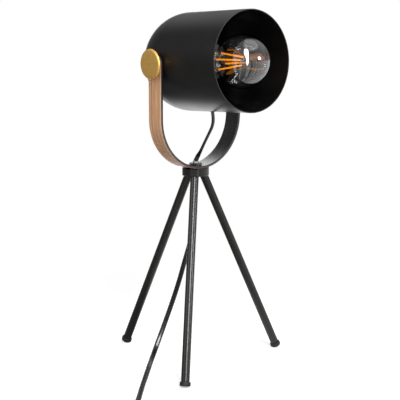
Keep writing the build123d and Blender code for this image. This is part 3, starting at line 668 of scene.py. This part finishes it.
@dataclass
class Studio:
    """The camera at the photograph's viewing angle, a pale floor and soft light.

    Attributes:
        eye: Where the camera stands, in millimetres.
        azimuth: How far it is turned, in degrees.
        pitch: How far it looks down, in degrees.
        lens: Its focal length, in millimetres.
        sensor: Its sensor's width, in millimetres.
        floor_size: The floor's side, in metres.
        paper: The floor's colour.
        floor_lift: How much the floor is lifted towards white near the lamp.
        shadow_reach: How far from the lamp the floor keeps its shadow, in metres.
        white_reach: Where the floor is plain white, in metres.
        light: The strength of the world's light.
        ceiling: How bright the upper half of the room is in reflections, in front.
        back_wall: How bright it is there behind the lamp.
        front_edge: How bright the foot of the wall is in front.
        back_edge: How bright it is behind the lamp.
        wall_turn: Where the back ends and the front starts, as shares of the front's direction.
        wall_rise: Where the foot of the wall ends and its upper half starts, as shares of straight up.
        flag: How bright the room is in reflections on its left, where a dark cloth hangs.
        flag_way: The direction of that cloth.
        flag_reach: Where the cloth starts and where it is full, as shares of its direction.
        clutter: How dark the stands and cases are that reflect from in front.
        clutter_reach: Where they start and where they are full, as shares of the front's direction.
        clutter_top: Where they start to end and where they end, as shares of straight up.
        clutter_scale: How many of them there are across a unit of direction.
        clutter_range: The noise's values from where one starts to where it is full.
        front_way: The direction of the front.
    """

    eye: Point = (-850.5, -988.9, 424.5)
    azimuth: float = -40.917
    pitch: float = 10.3
    lens: float = 104.35
    sensor: float = 36.0
    floor_size: float = 120.0
    paper: str = "#e8e8e8"
    floor_lift: float = 0.42
    shadow_reach: float = 0.2
    white_reach: float = 0.6
    light: float = 0.5
    ceiling: float = 0.38
    back_wall: float = 0.62
    front_edge: float = 1.0
    back_edge: float = 0.25
    wall_turn: Pair = (-0.3, 0.2)
    wall_rise: Pair = (0.15, 0.6)
    flag: float = 0.22
    flag_way: Point = (-0.656, 0.755, 0.0)
    flag_reach: Pair = (0.45, 0.72)
    clutter: float = 0.75
    clutter_reach: Pair = (0.1, 0.4)
    clutter_top: Pair = (0.1, 0.3)
    clutter_scale: float = 6.0
    clutter_range: Pair = (0.48, 0.55)
    front_way: Point = (-0.655, -0.756, 0.0)

    def build(self) -> None:
        """Make the camera, floor, world and lamps."""
        scene = bpy.context.scene
        scene.view_settings.view_transform = "Standard"
        self.camera(scene)
        self.floor()
        self.world(scene)
        for softbox in SOFTBOXES:
            softbox.build()

    def camera(self, scene: bpy.types.Scene) -> None:
        """Add the camera."""
        data = bpy.data.cameras.new("camera")
        data.lens = self.lens
        data.sensor_width = self.sensor
        camera = bpy.data.objects.new("camera", data)
        scene.collection.objects.link(camera)
        camera.location = Vector(self.eye) * MM
        camera.rotation_euler = (math.radians(90 - self.pitch), 0, math.radians(self.azimuth))
        scene.camera = camera

    def floor(self) -> None:
        """Add the floor, which shows white and keeps the lamp's shadow."""
        bpy.ops.object.select_all(action="DESELECT")
        bpy.ops.mesh.primitive_plane_add(size=self.floor_size)
        floor = bpy.context.active_object
        floor.name = "floor"
        material = bpy.data.materials.new("white_paper_sweep")
        material.use_nodes = True
        tree = material.node_tree
        tree.nodes.clear()
        paper = add_node(tree, "BsdfDiffuse", {"Color": linear(self.paper)}).outputs[0]
        painted_glow = add_node(tree, "Emission", {"Strength": self.floor_lift})
        near = add_node(tree, "AddShader", {0: paper, 1: painted_glow.outputs[0]})
        place = add_node(tree, "TexCoord").outputs["Object"]
        far = add_node(tree, "Emission", {"Strength": self.mirrored(tree, place, 1.0)})
        reach = add_node(tree, "VectorMath", {0: place}, operation="LENGTH")
        fade = add_node(
            tree,
            "MapRange",
            {"Value": reach.outputs["Value"], "From Min": self.shadow_reach, "From Max": self.white_reach},
            interpolation_type="SMOOTHSTEP",
        )
        glossy = add_node(tree, "LightPath").outputs["Is Glossy Ray"]
        plain = add_node(tree, "Math", {0: fade.outputs[0], 1: glossy}, operation="MAXIMUM")
        shown = add_node(tree, "MixShader", {0: plain.outputs[0], 1: near.outputs[0], 2: far.outputs[0]})
        surface = add_node(tree, "MixShader", {0: self.seen(tree), 1: paper, 2: shown.outputs[0]})
        add_node(tree, "OutputMaterial", {"Surface": surface.outputs[0]})
        floor.data.materials.append(material)

    def mirrored(self, tree: Tree, way: Socket, base: float | Socket) -> Socket:
        """Add the strength of the white surroundings: one where seen straight, softer in reflections.

        Args:
            tree: The floor's or the world's nodes.
            way: The direction from the lamp.
            base: The strength in reflections away from the dark cloth.

        Returns:
            The strength.
        """
        ahead = add_node(tree, "VectorMath", {0: way}, operation="NORMALIZE").outputs[0]
        towards, front = (
            add_node(tree, "VectorMath", {0: ahead, 1: wanted}, operation="DOT_PRODUCT").outputs["Value"]
            for wanted in (self.flag_way, self.front_way)
        )
        cloth = add_node(
            tree,
            "MapRange",
            {"Value": towards, "From Min": self.flag_reach[0], "From Max": self.flag_reach[1]},
            interpolation_type="SMOOTHSTEP",
        )
        height = add_node(tree, "SeparateXYZ", {0: ahead}).outputs["Z"]
        spots = add_node(
            tree, "TexNoise", {"Vector": ahead, "Scale": self.clutter_scale, "Detail": GRIT_DETAIL}
        )
        facing, low, stands = (
            add_node(
                tree,
                "MapRange",
                {"Value": value, "From Min": start, "From Max": end, "To Min": first, "To Max": last},
            ).outputs[0]
            for value, (start, end), first, last in (
                (front, self.clutter_reach, 0.0, 1.0),
                (height, self.clutter_top, 1.0, 0.0),
                (spots.outputs["Fac"], self.clutter_range, 0.0, self.clutter),
            )
        )
        where = add_node(tree, "Math", {0: facing, 1: low}, operation="MULTIPLY")
        dark = add_node(tree, "Math", {0: where.outputs[0], 1: stands}, operation="MULTIPLY")
        left = add_node(tree, "Math", {0: 1.0, 1: dark.outputs[0]}, operation="SUBTRACT")
        lit = add_node(tree, "Math", {0: left.outputs[0], 1: base}, operation="MULTIPLY")
        dim = add_node(tree, "Mix", {0: cloth.outputs[0], 2: lit.outputs[0], 3: self.flag})
        glossy = add_node(tree, "LightPath").outputs["Is Glossy Ray"]
        return add_node(tree, "Mix", {0: glossy, 2: 1.0, 3: dim.outputs[0]}).outputs[0]

    def seen(self, tree: Tree) -> Socket:
        """Tell rays that show a surface from rays that only carry its light.

        Args:
            tree: The floor's or the world's nodes.

        Returns:
            An output that is one for camera, glossy and transmission rays.
        """
        path = add_node(tree, "LightPath").outputs
        shows = path["Is Camera Ray"]
        for ray in ("Is Glossy Ray", "Is Transmission Ray"):
            shows = add_node(tree, "Math", {0: shows, 1: path[ray]}, operation="MAXIMUM").outputs[0]
        return shows

    def world(self, scene: bpy.types.Scene) -> None:
        """Make the studio round the lamp: white where it is seen, softer where it lights."""
        world = bpy.data.worlds.new("studio")
        scene.world = world
        world.use_nodes = True
        tree = world.node_tree
        tree.nodes.clear()
        light = add_node(tree, "Background", {"Color": WHITE, "Strength": self.light})
        way = add_node(tree, "TexCoord").outputs["Generated"]
        height = add_node(tree, "SeparateXYZ", {0: way}).outputs["Z"]
        front = add_node(tree, "VectorMath", {0: way, 1: self.front_way}, operation="DOT_PRODUCT")
        upper, lower = (
            add_node(
                tree,
                "MapRange",
                {
                    "Value": front.outputs["Value"],
                    "From Min": self.wall_turn[0],
                    "From Max": self.wall_turn[1],
                    "To Min": behind,
                    "To Max": before,
                },
            ).outputs[0]
            for behind, before in ((self.back_wall, self.ceiling), (self.back_edge, self.front_edge))
        )
        foot, top = self.wall_rise
        dimmed = add_node(
            tree,
            "MapRange",
            {"Value": height, "From Min": foot, "From Max": top, "To Min": lower, "To Max": upper},
            interpolation_type="SMOOTHSTEP",
        )
        strength = self.mirrored(tree, way, dimmed.outputs[0])
        shown = add_node(tree, "Background", {"Color": WHITE, "Strength": strength})
        mixed = add_node(tree, "MixShader", {0: self.seen(tree), 1: light.outputs[0], 2: shown.outputs[0]})
        add_node(tree, "OutputWorld", {"Surface": mixed.outputs[0]})


@dataclass
class FlatCord:
    """One length of flat twin cord, swept along a smooth route.

    Attributes:
        name: The piece's name.
        route: The route's points, in millimetres.
        sides: Directions of the cord's width, spread evenly along its length. Without any, it lies flat.
        core: The radius of its round edges, in millimetres.
        apart: How far each edge's centre is from the cord's middle, in millimetres.
        edge_steps: How many sides a round edge has.
        fine: How many steps the line takes from one of the route's points to the next.
    """

    name: str
    route: tuple[Point, ...]
    sides: tuple[Point, ...] = ()
    core: float = 1.4
    apart: float = 1.4
    edge_steps: int = 8
    fine: int = 8

    def line(self) -> list[Vector]:
        """Read the points of the route's smooth line.

        Returns:
            The points, in metres.
        """
        curve = bpy.data.curves.new(self.name + "_line", "CURVE")
        curve.dimensions = "3D"
        curve.resolution_u = self.fine
        spline = curve.splines.new("NURBS")
        spline.points.add(len(self.route) - 1)
        for knot, point in zip(spline.points, self.route):
            knot.co = (*(Vector(point) * MM), 1.0)
        spline.order_u = 3
        spline.use_endpoint_u = True
        holder = bpy.data.objects.new(self.name + "_line", curve)
        mesh = bpy.data.meshes.new_from_object(holder)
        points = [vertex.co.copy() for vertex in mesh.vertices]
        bpy.data.meshes.remove(mesh)
        bpy.data.objects.remove(holder)
        bpy.data.curves.remove(curve)
        return points

    def outline(self) -> list[Pair]:
        """Draw the section: flat faces between two round edges.

        Returns:
            Pairs across the width and the thickness, in metres.
        """
        turns = [math.radians(-90 + 180 * i / self.edge_steps) for i in range(self.edge_steps + 1)]
        right = [(self.apart + self.core * math.cos(t), self.core * math.sin(t)) for t in turns]
        left = [(-x, -y) for x, y in right]
        return [(x * MM, y * MM) for x, y in right + left]

    def side(self, share: float, along: Vector) -> Vector:
        """Find the direction of the cord's width.

        Args:
            share: How far along the cord, from 0 to 1.
            along: The cord's direction there.

        Returns:
            A unit vector across the cord.
        """
        if not self.sides:
            return along.cross(UP).normalized()
        place = share * (len(self.sides) - 1)
        first = min(int(place), len(self.sides) - 2)
        wish = Vector(self.sides[first]).lerp(Vector(self.sides[first + 1]), place - first)
        return (wish - along * wish.dot(along)).normalized()

    def build(self) -> tuple[Piece, list[Vector]]:
        """Sweep the section along the line.

        Returns:
            The cord and the points that it follows.
        """
        path = self.line()
        section = self.outline()
        last = len(path) - 1
        points = []
        for i, spot in enumerate(path):
            along = (path[min(i + 1, last)] - path[max(i - 1, 0)]).normalized()
            side = self.side(i / last, along)
            up = side.cross(along)
            points += [spot + side * x + up * y for x, y in section]
        return swept(self.name, points, len(section), len(path)), path


@dataclass
class Sleeve:
    """A moulded strain relief: a tapered sleeve with ribs, on the end of a cord.

    Attributes:
        name: The piece's name.
        path: The points that the cord follows, from the housing outwards.
        reach: How far it reaches along the cord, in millimetres.
        root: Its radius at the housing, in millimetres.
        tip: Its radius at its far end, in millimetres.
        oval: Its height as a share of its width.
        steps: How many sides a ring has.
        ribs: How many ribs it has.
        collar: The plain share of its length at the housing.
        ribs_from: Where the first groove starts, as a share of its length.
        ribs_share: The share of its length that its grooves and ribs take.
        groove: How deep a groove is, in millimetres.
        groove_end: Where a groove ends, as a share of a groove and its rib.
        rib_start: Where the rib is full, as such a share.
        rib_end: Where the rib ends, as such a share.
        rib_fall: How much lower the rib is there, in millimetres.
        nose: Where the plain end starts, as a share of its length.
        nose_edge: How much that end's edge is cut back, in millimetres.
    """

    name: str
    path: list[Vector]
    reach: float = 20.0
    root: float = 4.1
    tip: float = 3.15
    oval: float = 0.78
    steps: int = 24
    ribs: int = 5
    collar: float = 0.12
    ribs_from: float = 0.14
    ribs_share: float = 0.8
    groove: float = 0.55
    groove_end: float = 0.35
    rib_start: float = 0.42
    rib_end: float = 0.93
    rib_fall: float = 0.1
    nose: float = 0.97
    nose_edge: float = 0.35

    def rings(self) -> list[Pair]:
        """List the sleeve's rings.

        Returns:
            Pairs of distance from the housing and radius, in millimetres.
        """
        rings = [(0.0, self.root), (self.reach * self.collar, self.root)]
        pitch = self.reach * self.ribs_share / self.ribs
        for i in range(self.ribs):
            begin = self.reach * self.ribs_from + i * pitch
            full = self.root + (self.tip - self.root) * (begin / self.reach)
            low = full - self.groove
            rings += [
                (begin, low),
                (begin + pitch * self.groove_end, low),
                (begin + pitch * self.rib_start, full),
                (begin + pitch * self.rib_end, full - self.rib_fall),
            ]
        return [*rings, (self.reach * self.nose, self.tip), (self.reach, self.tip - self.nose_edge)]

    def spot(self, distance: float) -> tuple[Vector, Vector]:
        """Find a place on the cord.

        Args:
            distance: How far along the cord, in metres.

        Returns:
            The place and the cord's direction there.
        """
        for first, second in zip(self.path, self.path[1:]):
            step = (second - first).length
            if distance <= step:
                break
            distance -= step
        along = (second - first).normalized()
        return first + along * distance, along

    def build(self) -> Piece:
        """Sweep the rings along the cord.

        Returns:
            The sleeve.
        """
        points = []
        rings = self.rings()
        for distance, radius in rings:
            place, along = self.spot(distance * MM)
            side = along.cross(UP).normalized()
            up = side.cross(along)
            for i in range(self.steps):
                turn = 2 * math.pi * i / self.steps
                spread = side * math.cos(turn) + up * math.sin(turn) * self.oval
                points.append(place + spread * radius * MM)
        return swept(self.name, points, self.steps, len(rings))


HEAD_ROUTE = (
    (0, 0, 232.8),
    (0.99, -0.86, 235.6),
    (1.81, -2.37, 239.2),
    (2.47, -5.14, 243.4),
    (2.22, -8.53, 248.0),
    (1.32, -15.3, 256.837),
    (0.41, -23.02, 266.837),
    (0.49, -28.49, 275.037),
    (0.66, -29.8, 283.846),
    (0, -28.864, 290.837),
)
HEAD_SIDES = (
    (0.962, -0.274, 0.0),
    (0.991, -0.137, 0.0),
    (0.890, 0.456, 0.0),
    (0.829, 0.560, 0.0),
    (0.829, 0.560, 0.0),
    (0.874, 0.486, 0.0),
    (0.874, 0.486, 0.0),
)
# Forwards and upwards from the pivot, with the shade level.
HOLDER_ROUTE = (
    (26.0, -55.4),
    (26.0, -46.6),
    (21.5, -38.8),
    (13.7, -34.3),
    (0.5, -34.0),
    (-11.5, -34.6),
    (-23.5, -34.9),
    (-35.5, -34.0),
    (-44.5, -27.5),
    (-47.9, -17.0),
    (-44.5, -6.5),
    (-35.5, 0.0),
    (-26.0, 0.0),
)
HOLDER_SIDES = ((0.874, 0.486, 0.0), (1.0, 0.2, 0.0), (1.0, 0.0, 0.0), (1.0, 0.0, 0.0))
FLOOR_ROUTE = (
    (0, 0, 232.8),
    (0, 0, 216.4),
    (0, 0, 191),
    (-0.6, 2.6, 165),
    (-3.4, 4.6, 140),
    (-8.6, 9, 117),
    (-13.6, 13, 93),
    (-20.2, 16.8, 70),
    (-28.4, 19, 48.5),
    (-37.6, 19.4, 29.5),
    (-49, 15.6, 14),
    (-66, 3.2, 5.4),
    (-90, -19.6, 1.9),
    (-116, -45.8, 1.9),
    (-141.6, -72.6, 1.9),
    (-149.7, -79.3, 2.0),
    (-158.8, -91.3, 2.2),
    (-161.8, -106.6, 2.7),
    (-155.5, -120.7, 3.6),
    (-143.594, -132.179, 4.6),
    (-128.5, -145.3, 4.6),
)
FLOOR_SIDES = ((0.853, -0.522, 0.0), (0.853, -0.522, 0.0))


@dataclass
class CordSet:
    """The lamp's flat twin cord from the holder to the plug, and the soft pieces on it.

    Attributes:
        materials: The finishes by slot.
        tie: The strap round the coil. It is not used.
        width: The cord's width, in millimetres. It is not used.
        bend_start: Where the free length at the shade starts to follow the shade, in metres. It is not used.
        bend_end: Where it follows the shade alone, in metres. It is not used.
        head_exit: Where that length leaves the stand, in metres. It is not used.
        head_length: Its length, in metres. It is not used.
        head_turn: How far the shade looks up at rest, in degrees.
        holder_length: The length inside the shade, in metres. It is not used.
        floor_exit: Where the length to the switch leaves the hub, in metres. It is not used.
        floor_length: Its length, in metres. It is not used.
        plug_exit: Where the length to the plug leaves the switch, in metres. It is not used.
        plug_length: Its length, in metres. It is not used.
        coil_first_angle: Where the coil's first point lies, in degrees.
        coil_outer: The radius of the coil's outermost turn, in millimetres.
        coil_inner: The radius of its innermost turn, in millimetres.
        coil_layers: How many layers it has.
        coil_turns: How many turns a layer has.
        coil_floor: The height of its lowest layer, in millimetres.
        coil_rise: From one layer to the next, in millimetres.
        coil_fine: How many steps its line takes from one point to the next.
        points_per_turn: How many points a turn has.
        plug_reach: How far the plug's relief reaches along the cord, in millimetres.
        plug_root: That relief's radius at the plug, in millimetres.
        plug_tip: Its radius at its far end, in millimetres.
    """

    materials: dict[str, Material]
    tie: Piece
    width: float = 5.6
    bend_start: Point = (0, 0, 0.2385)
    bend_end: Point = (0, -0.0285, 0.286)
    head_exit: Point = (0, 0, 0.2328)
    head_length: float = 0.0665
    head_turn: float = 3.0
    holder_length: float = 0.124
    floor_exit: Point = (0, 0, 0.2164)
    floor_length: float = 0.44
    plug_exit: Point = (-0.0847, -0.1834, 0.0046)
    plug_length: float = 1.25
    coil_first_angle: float = 50.779
    coil_outer: float = 24.35
    coil_inner: float = 13.35
    coil_layers: int = 4
    coil_turns: int = 2
    coil_floor: float = 2.3
    coil_rise: float = 2.9
    coil_fine: int = 6
    points_per_turn: int = 16
    plug_reach: float = 22.0
    plug_root: float = 5.0
    plug_tip: float = 3.2

    def build(self) -> None:
        """Lay every length of the cord."""
        self.head_flex()
        self.holder_flex()
        self.floor_flex()
        self.plug_flex()

    def head_flex(self) -> None:
        """Make the short free length between the stand and the shade."""
        flex, path = FlatCord("head_flex", HEAD_ROUTE, HEAD_SIDES).build()
        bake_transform(flex)
        dress(flex, self.materials, "cord_pvc", Body.STAND, "head_cord")

    def holder_flex(self) -> None:
        """Make the length inside the shade, from the grommet round to the back of the holder."""
        turn = Matrix.Rotation(math.radians(-self.head_turn), 3, "X")
        pivot = Vector((0, 0, PIVOT_HEIGHT))
        route = tuple(tuple(turn @ Vector((0, -forward, up)) + pivot) for forward, up in HOLDER_ROUTE)
        flex, path = FlatCord("holder_flex", route, HOLDER_SIDES).build()
        dress(flex, self.materials, "cord_pvc", Body.HEAD, "holder_lead")

    def floor_flex(self) -> None:
        """Make the length from the stand down to the floor and along it to the switch."""
        flex, path = FlatCord("floor_flex", FLOOR_ROUTE, FLOOR_SIDES).build()
        boot = Sleeve("switch_boot_in", list(reversed(path))).build()
        dress(flex, self.materials, "cord_pvc", Body.STAND, "lamp_cord", "stem_lead")
        dress(boot, self.materials, "black_plastic", Body.STAND, "switch_boots")

    def coil_route(self) -> list[Point]:
        """Wind the put-away length in layers that run in and out by turns.

        Returns:
            The coil's points, in millimetres.
        """
        wound = self.points_per_turn * self.coil_turns
        climb = self.points_per_turn // 2
        route = []
        for layer in range(self.coil_layers):
            inwards = layer % 2 == 0
            for i in range(wound + 1):
                share = i / wound if inwards else 1 - i / wound
                radius = self.coil_outer + (self.coil_inner - self.coil_outer) * share
                route.append((radius, self.coil_floor + self.coil_rise * layer))
            if layer < self.coil_layers - 1:
                for i in range(1, climb):
                    route.append((radius, self.coil_floor + self.coil_rise * (layer + i / climb)))
        x, y = COIL_CENTRE
        points = []
        for i, (radius, height) in enumerate(route):
            angle = math.radians(self.coil_first_angle - 360 * i / self.points_per_turn)
            points.append((x + radius * math.cos(angle), y + radius * math.sin(angle), height))
        return points

    def plug_flex(self) -> None:
        """Make the length from the switch to the plug, most of it put away in a tied coil."""
        coil = self.coil_route()
        top = coil[-1][2]
        route = (
            (-84.727, -183.351, 4.6),
            (-75.67, -191.224, 4.6),
            (-69.557, -196.327, self.coil_floor),
            (-60.5, -204.2, self.coil_floor),
            *coil,
            (-91.748, -242.484, top),
            (-101.275, -235.188, top),
            (-111.3, -223.1, 9.0),
            (-120.57, -212.418, 6.85),
            (-128.6, -203.5, 6.85),
        )
        flex, path = FlatCord("plug_flex", route, fine=self.coil_fine).build()
        boot = Sleeve("switch_boot_out", path).build()
        back = list(reversed(path))
        relief = Sleeve("plug_relief", back, self.plug_reach, self.plug_root, self.plug_tip).build()
        dress(flex, self.materials, "cord_pvc", Body.STAND, "coil_lead", "cord_coil", "plug_lead")
        dress(boot, self.materials, "black_plastic", Body.STAND, "switch_boots")
        dress(relief, self.materials, "black_plastic", Body.STAND)


@dataclass
class Knob:
    """A thumb knob: a turned disc with a rounded rim, on a boss that the stud screws into.

    Attributes:
        node: The solid that it stands for.
        body: The body that it moves with.
        way: The direction that its face looks in, along X.
        disc_radius: The disc's radius, in millimetres.
        disc_back: From the boss's back to the disc's back, in millimetres.
        face: From the boss's back to the disc's face, in millimetres.
        face_ring: Where the face has a ring of points, as a share of its radius.
        boss_radius: The boss's radius, in millimetres.
        socket_radius: The radius of the hole for the stud, in millimetres.
        socket_depth: That hole's depth, in millimetres.
        chamfer: How much the edges at the back are cut back, in millimetres.
        neck: How much the corner between boss and disc is filled, in millimetres.
        rim: The radius of the rim's rounding, in millimetres.
        rim_steps: How many steps that rounding has.
    """

    node: str
    body: Body
    way: float
    disc_radius: float = 16.4
    disc_back: float = 4.8
    face: float = 7.4
    face_ring: float = 0.5
    boss_radius: float = 10.0
    socket_radius: float = 3.0
    socket_depth: float = 4.0
    chamfer: float = 0.4
    neck: float = 0.3
    rim: float = 1.7
    rim_steps: int = 8

    def outline(self) -> list[Pair]:
        """Draw half of the knob's section.

        Returns:
            Pairs of distance from its back and radius, in millimetres.
        """
        turns = [math.pi / 2 * i / self.rim_steps for i in range(self.rim_steps + 1)]
        middle = (self.face - self.rim, self.disc_radius - self.rim)
        rim = [(middle[0] + self.rim * math.sin(t), middle[1] + self.rim * math.cos(t)) for t in turns]
        return [
            (self.socket_depth, 0.0),
            (self.socket_depth, self.socket_radius),
            (0.0, self.socket_radius),
            (0.0, self.boss_radius - self.chamfer),
            (self.chamfer, self.boss_radius),
            (self.disc_back - self.neck, self.boss_radius),
            (self.disc_back, self.boss_radius + self.neck),
            (self.disc_back, self.disc_radius - self.chamfer),
            (self.disc_back + self.chamfer, self.disc_radius),
            *rim,
            (self.face, self.disc_radius * self.face_ring),
            (self.face, 0.0),
        ]

    def build(self, materials: dict[str, Material]) -> None:
        """Spin the knob and put it in the place of its solid.

        Args:
            materials: The finishes by slot.
        """
        low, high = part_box(self.node)
        back = high[0] if self.way < 0 else low[0]
        origin = Vector((back, 0.0, PIVOT_HEIGHT * MM))
        knob = spun(self.node + "_turned", self.outline(), origin, (self.way, 0.0, 0.0))
        dress(knob, materials, "gold", self.body, self.node)


@dataclass
class CoilTie:
    """The moulded strap and its head that hold the put-away coil.

    Attributes:
        angle: Where round the coil it sits, in degrees.
        middle: From the coil's centre to the strap's middle, in millimetres.
        room: The width inside the strap, in millimetres.
        low: The height of its underside, in millimetres.
        high: The height of its top, in millimetres.
        width: The strap's width, in millimetres.
        thickness: Its thickness, in millimetres.
        corner: The radius of its corners, in millimetres.
        corner_steps: How many steps a corner has.
        strap_edge: How much the strap's edges are rounded, in millimetres.
        head: The head's length, width and height, in millimetres.
        head_wall: The wall round the pocket in the head, in millimetres.
        head_pocket: That pocket's depth, in millimetres.
        head_edge: How much the head's edges are rounded, in millimetres.
    """

    angle: float = -39.221
    middle: float = 18.85
    room: float = 16.8
    low: float = 0.1
    high: float = 13.2
    width: float = 8.0
    thickness: float = 0.8
    corner: float = 3.0
    corner_steps: int = 5
    strap_edge: float = 0.15
    head: Point = (7.0, 9.6, 4.0)
    head_wall: float = 1.4
    head_pocket: float = 1.2
    head_edge: float = 0.35

    def strap(self) -> Piece:
        """Make the strap as a rounded loop.

        Returns:
            The strap, in its own place.
        """
        tall = self.high - self.low
        size = (self.room + 2 * self.thickness, self.width, tall)
        strap = new_box("coil_strap", size, (self.middle, 0.0, self.low + tall / 2))
        bpy.ops.object.mode_set(mode="EDIT")
        bpy.ops.mesh.select_mode(type="EDGE")
        bpy.ops.mesh.select_all(action="DESELECT")
        bpy.ops.object.mode_set(mode="OBJECT")
        points = strap.data.vertices
        for edge in strap.data.edges:
            first, second = (points[i].co for i in edge.vertices)
            edge.select = abs(first.y - second.y) > self.width * MM / 2
        bpy.ops.object.mode_set(mode="EDIT")
        bpy.ops.mesh.bevel(offset=self.corner * MM, segments=self.corner_steps, affect="EDGES")
        edit_faces(strap, lambda face: abs(face.normal.y) > FACING_SHARE)
        bpy.ops.mesh.delete(type="FACE")
        bpy.ops.object.mode_set(mode="OBJECT")
        wall = strap.modifiers.new("wall", "SOLIDIFY")
        wall.thickness = self.thickness * MM
        bpy.ops.object.modifier_apply(modifier=wall.name)
        soften(strap, self.strap_edge)
        return strap

    def block(self) -> Piece:
        """Make the head that the strap runs through.

        Returns:
            The head, in its own place.
        """
        middle = (self.middle, 0.0, self.high + self.head[2] / 2 - self.thickness)
        block = new_box("tie_head", self.head, middle)
        edit_faces(block, lambda face: face.normal.z > FACING_SHARE)
        bpy.ops.mesh.inset(thickness=self.head_wall * MM)
        bpy.ops.mesh.extrude_region_move(TRANSFORM_OT_translate={"value": (0, 0, -self.head_pocket * MM)})
        bpy.ops.object.mode_set(mode="OBJECT")
        soften(block, self.head_edge)
        return block

    def build(self, materials: dict[str, Material]) -> Piece:
        """Join the strap and its head, and put them round the coil.

        Args:
            materials: The finishes by slot.

        Returns:
            The tie.
        """
        strap = self.strap()
        only_select(strap, self.block())
        bpy.ops.object.join()
        turn = Matrix.Rotation(math.radians(self.angle), 4, "Z")
        strap.data.transform(Matrix.Translation(Vector((*COIL_CENTRE, 0.0)) * MM) @ turn)
        bpy.ops.object.shade_smooth_by_angle(angle=TURNED_CREASE)
        dress(strap, materials, "black_plastic", Body.STAND, "coil_tie")
        return strap


def main() -> None:
    """Build the studio, dress the lamp's pieces and lay its cord."""
    logging.basicConfig(level=logging.INFO, format="%(message)s")
    Studio().build()
    materials = {slot: finish.build() for slot, finish in FINISHES.items()}
    for subpart in FRAME["record"]["subparts"]:
        node = FRAME["nodes"][subpart["node"]]
        finish = "leg_enamel" if node.name in LEG_NODES else subpart["material_slot"]
        node.data.materials.clear()
        node.data.materials.append(materials[finish])
        LOG.info("%s: %s", node.name, finish)
    Knob("knob_left", Body.KNOB_LEFT, -1.0).build(materials)
    Knob("knob_right", Body.KNOB_RIGHT, 1.0).build(materials)
    tie = CoilTie().build(materials)
    CordSet(materials, tie).build()


if __name__ == "__main__":
    main()
